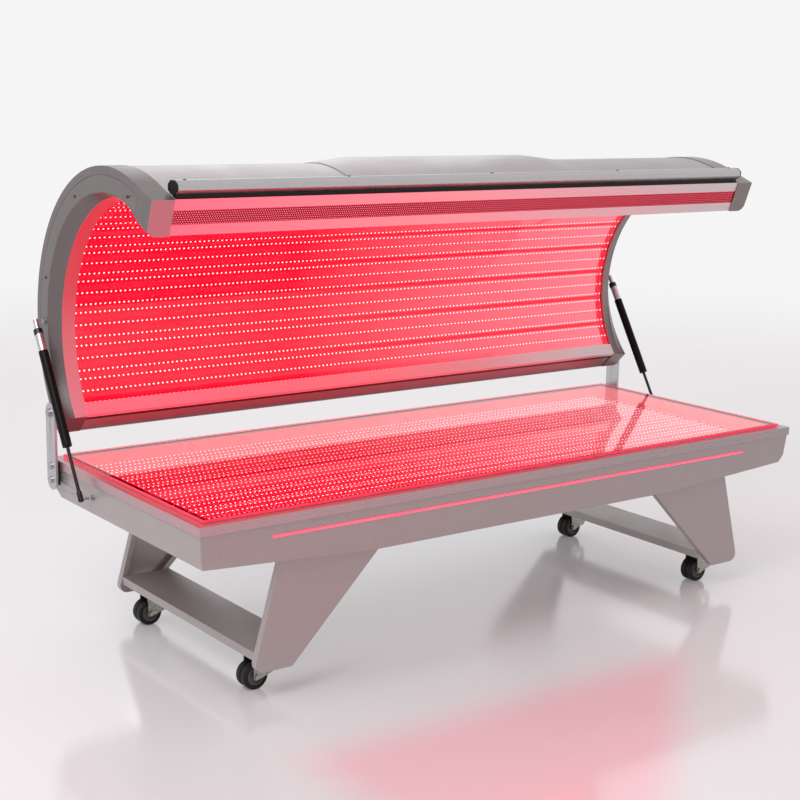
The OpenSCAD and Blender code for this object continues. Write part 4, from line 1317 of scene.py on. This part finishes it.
@dataclass
class Grille:
    """The perforated red strip in the lip's face, with a dust cloth behind it that glows with
    painted light.

    Args:
        curve: the canopy's profile.
        deep: distance of the sheet's front behind the lip's face.
        thickness: thickness of the sheet.
        half: half its length.
        middle: distance of its middle down the lip.
        pitch: distance from hole to hole in a row.
        hole: diameter of a hole.
        rows: rows of holes.
        cloth_size: width and thickness of the cloth.
        cloth_short: how much shorter than the sheet it is.
        cloth_gap: space between the sheet and the cloth.
        cloth_cuts: cuts across it, which keep its faces short.
        seam: distance within which the corners of neighbouring cells are joined.
    """

    curve: CanopyCurve = field(default_factory=CanopyCurve)
    deep: float = 4.55 * MM
    thickness: float = 1.2 * MM
    half: float = 1037 * MM
    middle: float = 50.5 * MM
    pitch: float = 7 * MM
    hole: float = 4.4 * MM
    rows: int = 7
    cloth_size: Point = (45 * MM, 0.1 * MM)
    cloth_short: float = 8 * MM
    cloth_gap: float = 0.06 * MM
    cloth_cuts: int = 40
    seam: float = 0.05 * MM

    def to_lip(self, deep: float) -> Matrix:
        """Gives the place of a sheet behind the lip's face.

        Args:
            deep: distance of the sheet's front behind the face.

        Returns:
            A matrix whose X runs along the bed, Y down the lip and Z into the canopy.
        """
        spot = (self.curve.centre + self.curve.lip_top + self.curve.lip_down * self.middle
                + self.curve.lip_back * deep)
        axes = Matrix(((1, 0, 0), (0, *self.curve.lip_down), (0, *self.curve.lip_back)))
        return Matrix.Translation((0, *spot)) @ axes.transposed().to_4x4()

    def sheet(self) -> bpy.types.Object:
        """Makes the perforated sheet from one hexagonal cell.

        Returns:
            The sheet, in place.
        """
        columns = math.floor(2 * self.half / self.pitch)
        sizes = {
            "Columns": float(columns), "Length": (columns - 1) * self.pitch,
            "Cell Radius": self.pitch / math.sqrt(3), "Hole Radius": self.hole / 2,
            "Even Shift": 0.0, "Odd Shift": self.pitch / 2, "Thickness": self.thickness}
        fields = {"Even": (self.rows + 1) // 2, "Odd": self.rows // 2}
        for name, rows in fields.items():
            sizes[name + " Rows"] = float(rows)
            sizes[name + " Height"] = (rows - 1) * self.pitch * math.sqrt(3)
        maker = NodeTree("perforated_sheet", sizes, GRILLE_RED)
        given = maker.given
        cell = maker.node("GeometryNodeFillCurve", {0: maker.node(
            "GeometryNodeJoinGeometry", {0: [
                maker.node("GeometryNodeCurvePrimitiveCircle",
                           {"Resolution": 6, "Radius": given[size]}, mode="RADIUS")
                for size in ("Cell Radius", "Hole Radius")]})})
        upright = maker.node("GeometryNodeTransform",
                             {"Geometry": cell, "Rotation": (0.0, 0.0, math.pi / 6)})
        parts = []
        for name in fields:
            grid = maker.node("GeometryNodeMeshGrid", {
                "Size X": given["Length"], "Size Y": given[name + " Height"],
                "Vertices X": given["Columns"], "Vertices Y": given[name + " Rows"]})
            shift = maker.node("ShaderNodeCombineXYZ", {"X": given[name + " Shift"]})
            moved = maker.node("GeometryNodeTransform",
                               {"Geometry": grid, "Translation": shift})
            parts.append(maker.node("GeometryNodeInstanceOnPoints",
                                    {"Points": moved, "Instance": upright}))
        whole = maker.node("GeometryNodeRealizeInstances", {
            0: maker.node("GeometryNodeJoinGeometry", {0: parts})})
        merged = maker.node("GeometryNodeMergeByDistance",
                            {"Geometry": whole, "Distance": self.seam})
        thick = maker.node("GeometryNodeExtrudeMesh", {
            "Mesh": merged, "Offset Scale": given["Thickness"], "Individual": False},
            mode="FACES")
        flipped = maker.node("GeometryNodeFlipFaces", {0: merged})
        closed = maker.node("GeometryNodeJoinGeometry", {0: [thick, flipped]})
        maker.finish_tree(maker.node("GeometryNodeMergeByDistance",
                                     {"Geometry": closed, "Distance": MERGE}))
        piece = maker.make("perforated_fascia", bpy.data.meshes.new("no_guide"))
        piece.data.transform(self.to_lip(self.deep))
        return piece

    def cloth(self) -> bpy.types.Object:
        """Makes the dust cloth right behind the sheet, which glows with painted light.

        Returns:
            The cloth, in place.
        """
        form = bmesh.new()
        sized_box(form, 2 * self.half - self.cloth_short, *self.cloth_size)
        bmesh.ops.subdivide_edges(form, cuts=self.cloth_cuts, edges=[
            e for e in form.edges if e.calc_length() > self.half])
        bmesh.ops.transform(form, verts=form.verts, matrix=self.to_lip(
            self.deep + self.thickness + self.cloth_gap))
        return keep_form("grille_dust_cloth", form, GRILLE_CLOTH)

    def build(self) -> None:
        """Makes the sheet and its cloth."""
        set_piece(self.sheet(), "canopy", "red_mesh", "fascia_grille")
        set_piece(self.cloth(), "canopy", "red_mesh", "fascia_grille")


@dataclass
class Bed:
    """The tray: folded sheet, rim, boards, clear sheet and lit strip.

    Args:
        middle: the bed's middle line.
        length: length of the clear sheet.
        width: width of the clear sheet.
        low: height of its underside.
        thickness: its thickness.
        corner: radius of its corners.
        corner_steps: faces round a corner.
        polish: width of the round on its polished edges.
        board_pitch: distance from board to board.
        board_count: boards.
        board_low: height of the pan's floor.
        board_length: length of a board.
    """

    middle: float = -32.0163 * MM
    length: float = 2146 * MM
    width: float = 840 * MM
    low: float = 514 * MM
    thickness: float = 8 * MM
    corner: float = 5 * MM
    corner_steps: int = 6
    polish: float = 0.8 * MM
    board_pitch: float = 100 * MM
    board_count: int = 8
    board_low: float = 473.5 * MM
    board_length: float = 2040 * MM

    def dress(self, frame: dict[str, Any]) -> None:
        """Finishes the tray's CAD nodes.
        """
        dress(frame, SILVER_COAT, 1.5 * MM, "tray_shell")
        dress(frame, RIM_METAL, 1.2 * MM, "bed_rim")
        dress(frame, SEAL_RUBBER, 0.0, "rim_seal")
        dress(frame, WHITE_ENAMEL, 0.4 * MM, "bed_reflector")
        dress(frame, FRAME_COAT, 1.0 * MM, "tray_frame")
        dress(frame, SUPPLY_ZINC, 0.5 * MM, "power_supplies")
        dress(frame, BLACK_PLASTIC, 0.5 * MM, "power_inlet")
        dress(frame, STRIP_GLOW, 0.4 * MM, "light_strip")

    def clear_sheet(self) -> bpy.types.Object:
        """Makes the clear sheet with polished edges that carry the lamps' light.

        Returns:
            The sheet, in place.
        """
        form = bmesh.new()
        outline = []
        for sx, sy, start in ((1, 1, 0), (-1, 1, 90), (-1, -1, 180), (1, -1, 270)):
            for i in range(self.corner_steps + 1):
                turn = math.radians(start + 90 * i / self.corner_steps)
                outline.append((
                    sx * (self.length / 2 - self.corner) + self.corner * math.cos(turn),
                    self.middle + sy * (self.width / 2 - self.corner)
                    + self.corner * math.sin(turn)))
        rings = [[form.verts.new((x, y, z)) for x, y in outline]
                 for z in (self.low, self.low + self.thickness)]
        form.faces.new(reversed(rings[0]))
        form.faces.new(rings[1])
        for i in range(len(outline)):
            j = (i + 1) % len(outline)
            form.faces.new((rings[0][i], rings[0][j], rings[1][j],
                            rings[1][i])).material_index = 1
        bmesh.ops.recalc_face_normals(form, faces=form.faces)
        sheet = keep_form("bed_clear_top", form, CLEAR_SHEET, LIT_EDGE)
        round_edges(sheet, self.polish)
        return sheet

    def build(self) -> None:
        """Makes the clear sheet, the boards and the lamps."""
        set_piece(self.clear_sheet(), "base", "clear_acrylic", "bed_clear_sheet")
        boards = LampBoards("bed_boards", self.board_length)
        first = self.middle - (self.board_count - 1) / 2 * self.board_pitch
        places = [Matrix.Translation((0, first + i * self.board_pitch, self.board_low))
                  for i in range(self.board_count)]
        set_piece(boards.boards(places), "base", "red_lamps", "bed_light_boards")
        set_piece(boards.lamps(places), "base", "red_lamps", "bed_light_boards")


@dataclass
class Underframe:
    """Leg panels, shelves and casters.

    Args:
        corners: the names of the four corners.
        fold: width of the round on a folded sheet's edge.
    """

    corners: tuple[str, ...] = ("front_left", "rear_left", "front_right", "rear_right")
    fold: float = 1.4 * MM

    def dress(self, frame: dict[str, Any]) -> None:
        """Finishes the legs' and casters' CAD nodes.
        """
        dress(frame, SILVER_COAT, self.fold, *[f"leg_{c}" for c in self.corners])
        dress(frame, SILVER_COAT, self.fold, "leg_shelves")
        dress(frame, ZINC, 0.0, "caster_plates")
        dress(frame, ZINC, 0.4 * MM, *[f"fork_{c}" for c in self.corners])
        dress(frame, GREY_PLASTIC, 0.4 * MM, *[f"hub_{c}" for c in self.corners])
        dress(frame, TYRE_RUBBER, 0.0, *[f"tyre_{c}" for c in self.corners])


@dataclass
class Hinges:
    """Side plates, pins and gas struts.

    Args:
        sides: the names of the two sides.
    """

    sides: tuple[str, ...] = ("left", "right")

    def dress(self, frame: dict[str, Any]) -> None:
        """Finishes the hinges' and struts' CAD nodes.
        """
        dress(frame, PLATE_METAL, 0.8 * MM, "hinge_plates")
        dress(frame, BLACK_PLASTIC, 0.5 * MM, "hinge_spacers")
        dress(frame, BRIGHT_STEEL, 0.5 * MM, "hinge_bolts", "pivot_pins")
        dress(frame, BRIGHT_STEEL, 0.0, "lower_ball_studs")
        dress(frame, ROD_METAL, 0.0, *[f"rod_{s}" for s in self.sides])
        dress(frame, TUBE_METAL, 0.0, *[f"tube_{s}" for s in self.sides])
        dress(frame, SLEEVE_PLASTIC, 0.0, *[f"sleeve_{s}" for s in self.sides])


@dataclass(frozen=True)
class SoftBox:
    """A square soft box.

    Args:
        name: its name.
        place: where it hangs.
        power: its power in watts.
        size: its width and height.
    """

    name: str
    place: Place
    power: float
    size: float = 2.4

    def hang(self, target: Place) -> None:
        """Hangs the box.

        Args:
            target: what it points at.
        """
        data = bpy.data.lights.new(self.name, "AREA")
        data.shape = "SQUARE"
        data.size = self.size
        data.energy = self.power
        lamp = link_object(self.name, data)
        aim = (Vector(target) - Vector(self.place)).to_track_quat("-Z", "Y")
        lamp.matrix_world = Matrix.Translation(self.place) @ aim.to_matrix().to_4x4()


@dataclass
class Studio:
    """Floor, soft light and the photograph's camera.

    Args:
        eye: the camera's place.
        yaw: its turn from +Y, in radians.
        pitch: its tilt.
        roll: its roll.
        lens: its focal length.
        sensor: the width of its sensor.
        clip: the farthest that it sees.
        backdrop: how bright the background looks.
        fill: how bright the room's light is.
        air: sRGB colour of the background and of the room's light.
        front: sRGB colour of the room's light from the front, where the lit bed reddens it.
        front_run: directions along Y between which that reddening fades.
        size: half the floor's width.
        resin: sRGB colour of the floor.
        resin_index: how strongly its polish mirrors, as a refractive index.
        resin_gloss: its least and most roughness.
        resin_patches: patches of more and less gloss in a metre.
        resin_glow: how much light it adds of its own.
        fade: distances from the middle between which the floor fades into the background.
        painted_reflection: sRGB colour of a painted reflection of the lamps' red light on the
            floor, which also glows.
        painted_reflection_slant: how far its slanted side runs along X for each metre along Y.
        painted_reflection_sides: where it starts and is full at its rear, slanted and left
            sides.
        boxes: the soft boxes.
        target: what they point at.
    """

    eye: Place = (-2.85463, -3.68846, 1.56657)
    yaw: float = 0.63394
    pitch: float = -0.19729
    roll: float = 0.01655
    lens: float = 68.94
    sensor: float = 36.0
    clip: float = 200.0
    backdrop: float = 0.94
    fill: float = 0.62
    air: str = "FCFCFD"
    front: str = "E2A8AE"
    front_run: Point = (-1.0, 0.2)
    size: float = 40.0
    resin: str = "F0F0F2"
    resin_index: float = 2.4
    resin_gloss: Point = (0.11, 0.16)
    resin_patches: float = 1.2
    resin_glow: float = 0.12
    fade: Point = (3.5, 9.0)
    painted_reflection: str = "FFD0D7"
    painted_reflection_slant: float = -1.124
    painted_reflection_sides: tuple[Point, ...] = ((-0.68, -0.92), (1.32, 1.08), (-1.12, -0.88))
    boxes: tuple[SoftBox, ...] = (SoftBox("key_box", (-3.0, -1.2, 3.8), 70),
                                  SoftBox("back_box", (2.0, 3.6, 3.2), 14))
    target: Place = (0.0, 0.0, 0.7)

    def camera(self) -> None:
        """Places the camera as the photograph was taken."""
        ahead = Vector((math.sin(self.yaw) * math.cos(self.pitch),
                        math.cos(self.yaw) * math.cos(self.pitch), math.sin(self.pitch)))
        level = ahead.cross(Vector((0, 0, 1))).normalized()
        above = level.cross(ahead)
        right = level * math.cos(self.roll) + above * math.sin(self.roll)
        up = above * math.cos(self.roll) - level * math.sin(self.roll)
        data = bpy.data.cameras.new("view")
        data.lens = self.lens
        data.sensor_width = self.sensor
        data.clip_end = self.clip
        camera = link_object("view", data)
        turn = Matrix((right, up, -ahead)).transposed().to_4x4()
        camera.matrix_world = Matrix.Translation(self.eye) @ turn
        bpy.context.scene.camera = camera

    def room(self) -> None:
        """Makes the pale room light, which metal and glass show as the background."""
        world = bpy.data.worlds.new("pale_room")
        bpy.context.scene.world = world
        world.use_nodes = True
        tree = world.node_tree
        tree.nodes.clear()
        path = add_node(tree, "ShaderNodeLightPath").outputs
        seen = path["Is Camera Ray"]
        for kind in ("Is Glossy Ray", "Is Transmission Ray"):
            seen = add_node(tree, "ShaderNodeMath", {0: seen, 1: path[kind]},
                            operation="MAXIMUM")
        way = add_node(tree, "ShaderNodeTexCoord").outputs["Generated"]
        ahead = add_node(tree, "ShaderNodeSeparateXYZ", {"Vector": way}).outputs["Y"]
        near = add_node(tree, "ShaderNodeMapRange", {
            "Value": ahead, "From Min": self.front_run[0], "From Max": self.front_run[1],
            "To Min": 1.0, "To Max": 0.0})
        unseen = add_node(tree, "ShaderNodeMath", {0: 1.0, 1: seen}, operation="SUBTRACT")
        tint = add_node(tree, "ShaderNodeMath", {0: near, 1: unseen}, operation="MULTIPLY")
        light = add_node(tree, "ShaderNodeBackground", {
            "Color": add_node(tree, "ShaderNodeMix", {
                "Factor": tint, 6: linear(self.air), 7: linear(self.front)},
                data_type="RGBA"),
            "Strength": add_node(tree, "ShaderNodeMapRange", {
                "Value": seen, "To Min": self.fill, "To Max": self.backdrop})})
        add_node(tree, "ShaderNodeOutputWorld", {"Surface": light})

    def floor(self) -> None:
        """Makes the polished pale floor, which keeps the bed's shadow and reflection, with a
        painted red reflection in front of the bed.
        """
        form = bmesh.new()
        bmesh.ops.create_grid(form, x_segments=8, y_segments=8, size=self.size)
        floor = keep_form("floor", form)
        on = Surface("polished_resin_floor")
        # Painted reflection of the lamps' red light, in colour and in glow.
        colour = on.layers(linear(self.resin), (self.painted_reflection_mask(on), self.painted_reflection))
        on.feed({"IOR": self.resin_index, "Emission Strength": self.resin_glow,
                 "Base Color": colour, "Emission Color": colour})
        on.vary_gloss(on.node("ShaderNodeTexNoise", {
            "Vector": on.place, "Scale": self.resin_patches, "Detail": 4.0}),
            *self.resin_gloss)
        away = on.node("ShaderNodeVectorMath", {0: on.place}, operation="LENGTH")
        gone = on.node("ShaderNodeMapRange", {
            "Value": away, "From Min": self.fade[0], "From Max": self.fade[1]},
            interpolation_type="SMOOTHSTEP")
        blend = on.node("ShaderNodeMixShader", {
            0: gone, 1: on.shader, 2: on.node("ShaderNodeBsdfTransparent")})
        wire(on.tree, on.tree.nodes["Material Output"], {"Surface": blend})
        floor.data.materials.append(on.material)

    def painted_reflection_mask(self, on: Surface) -> Any:
        """Finds where the painted reflection of the lamps' red light lies on the floor in front
        of the bed.

        Args:
            on: the floor's material.

        Returns:
            What holds how much of it falls there.
        """
        split = on.node("ShaderNodeSeparateXYZ", {"Vector": on.place}).outputs
        slant = on.node("ShaderNodeMath", {0: split["Y"], 1: self.painted_reflection_slant, 2: split["X"]},
                        operation="MULTIPLY_ADD")
        return on.overlap(*[
            on.node("ShaderNodeMapRange", {"Value": value, "From Min": low, "From Max": high},
                    interpolation_type="SMOOTHSTEP")
            for value, (low, high) in zip((split["Y"], slant, split["X"]), self.painted_reflection_sides)])

    def build(self) -> None:
        """Sets up the room, the floor and the soft boxes."""
        bpy.context.scene.view_settings.view_transform = "Standard"
        self.room()
        self.floor()
        for box in self.boxes:
            box.hang(self.target)


def main() -> None:
    """Loads the frame, dresses the bed and sets the studio."""
    logging.basicConfig(level=logging.INFO, format="%(name)s: %(message)s")
    for left in list(bpy.data.objects):
        bpy.data.objects.remove(left)
    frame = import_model()
    studio = Studio()
    studio.camera()
    bed = Bed()
    bed.dress(frame)
    bed.build()
    canopy = Canopy()
    canopy.dress(frame)
    canopy.build()
    Grille(canopy.curve).build()
    Underframe().dress(frame)
    Hinges().dress(frame)
    studio.build()


if __name__ == "__main__":
    main()
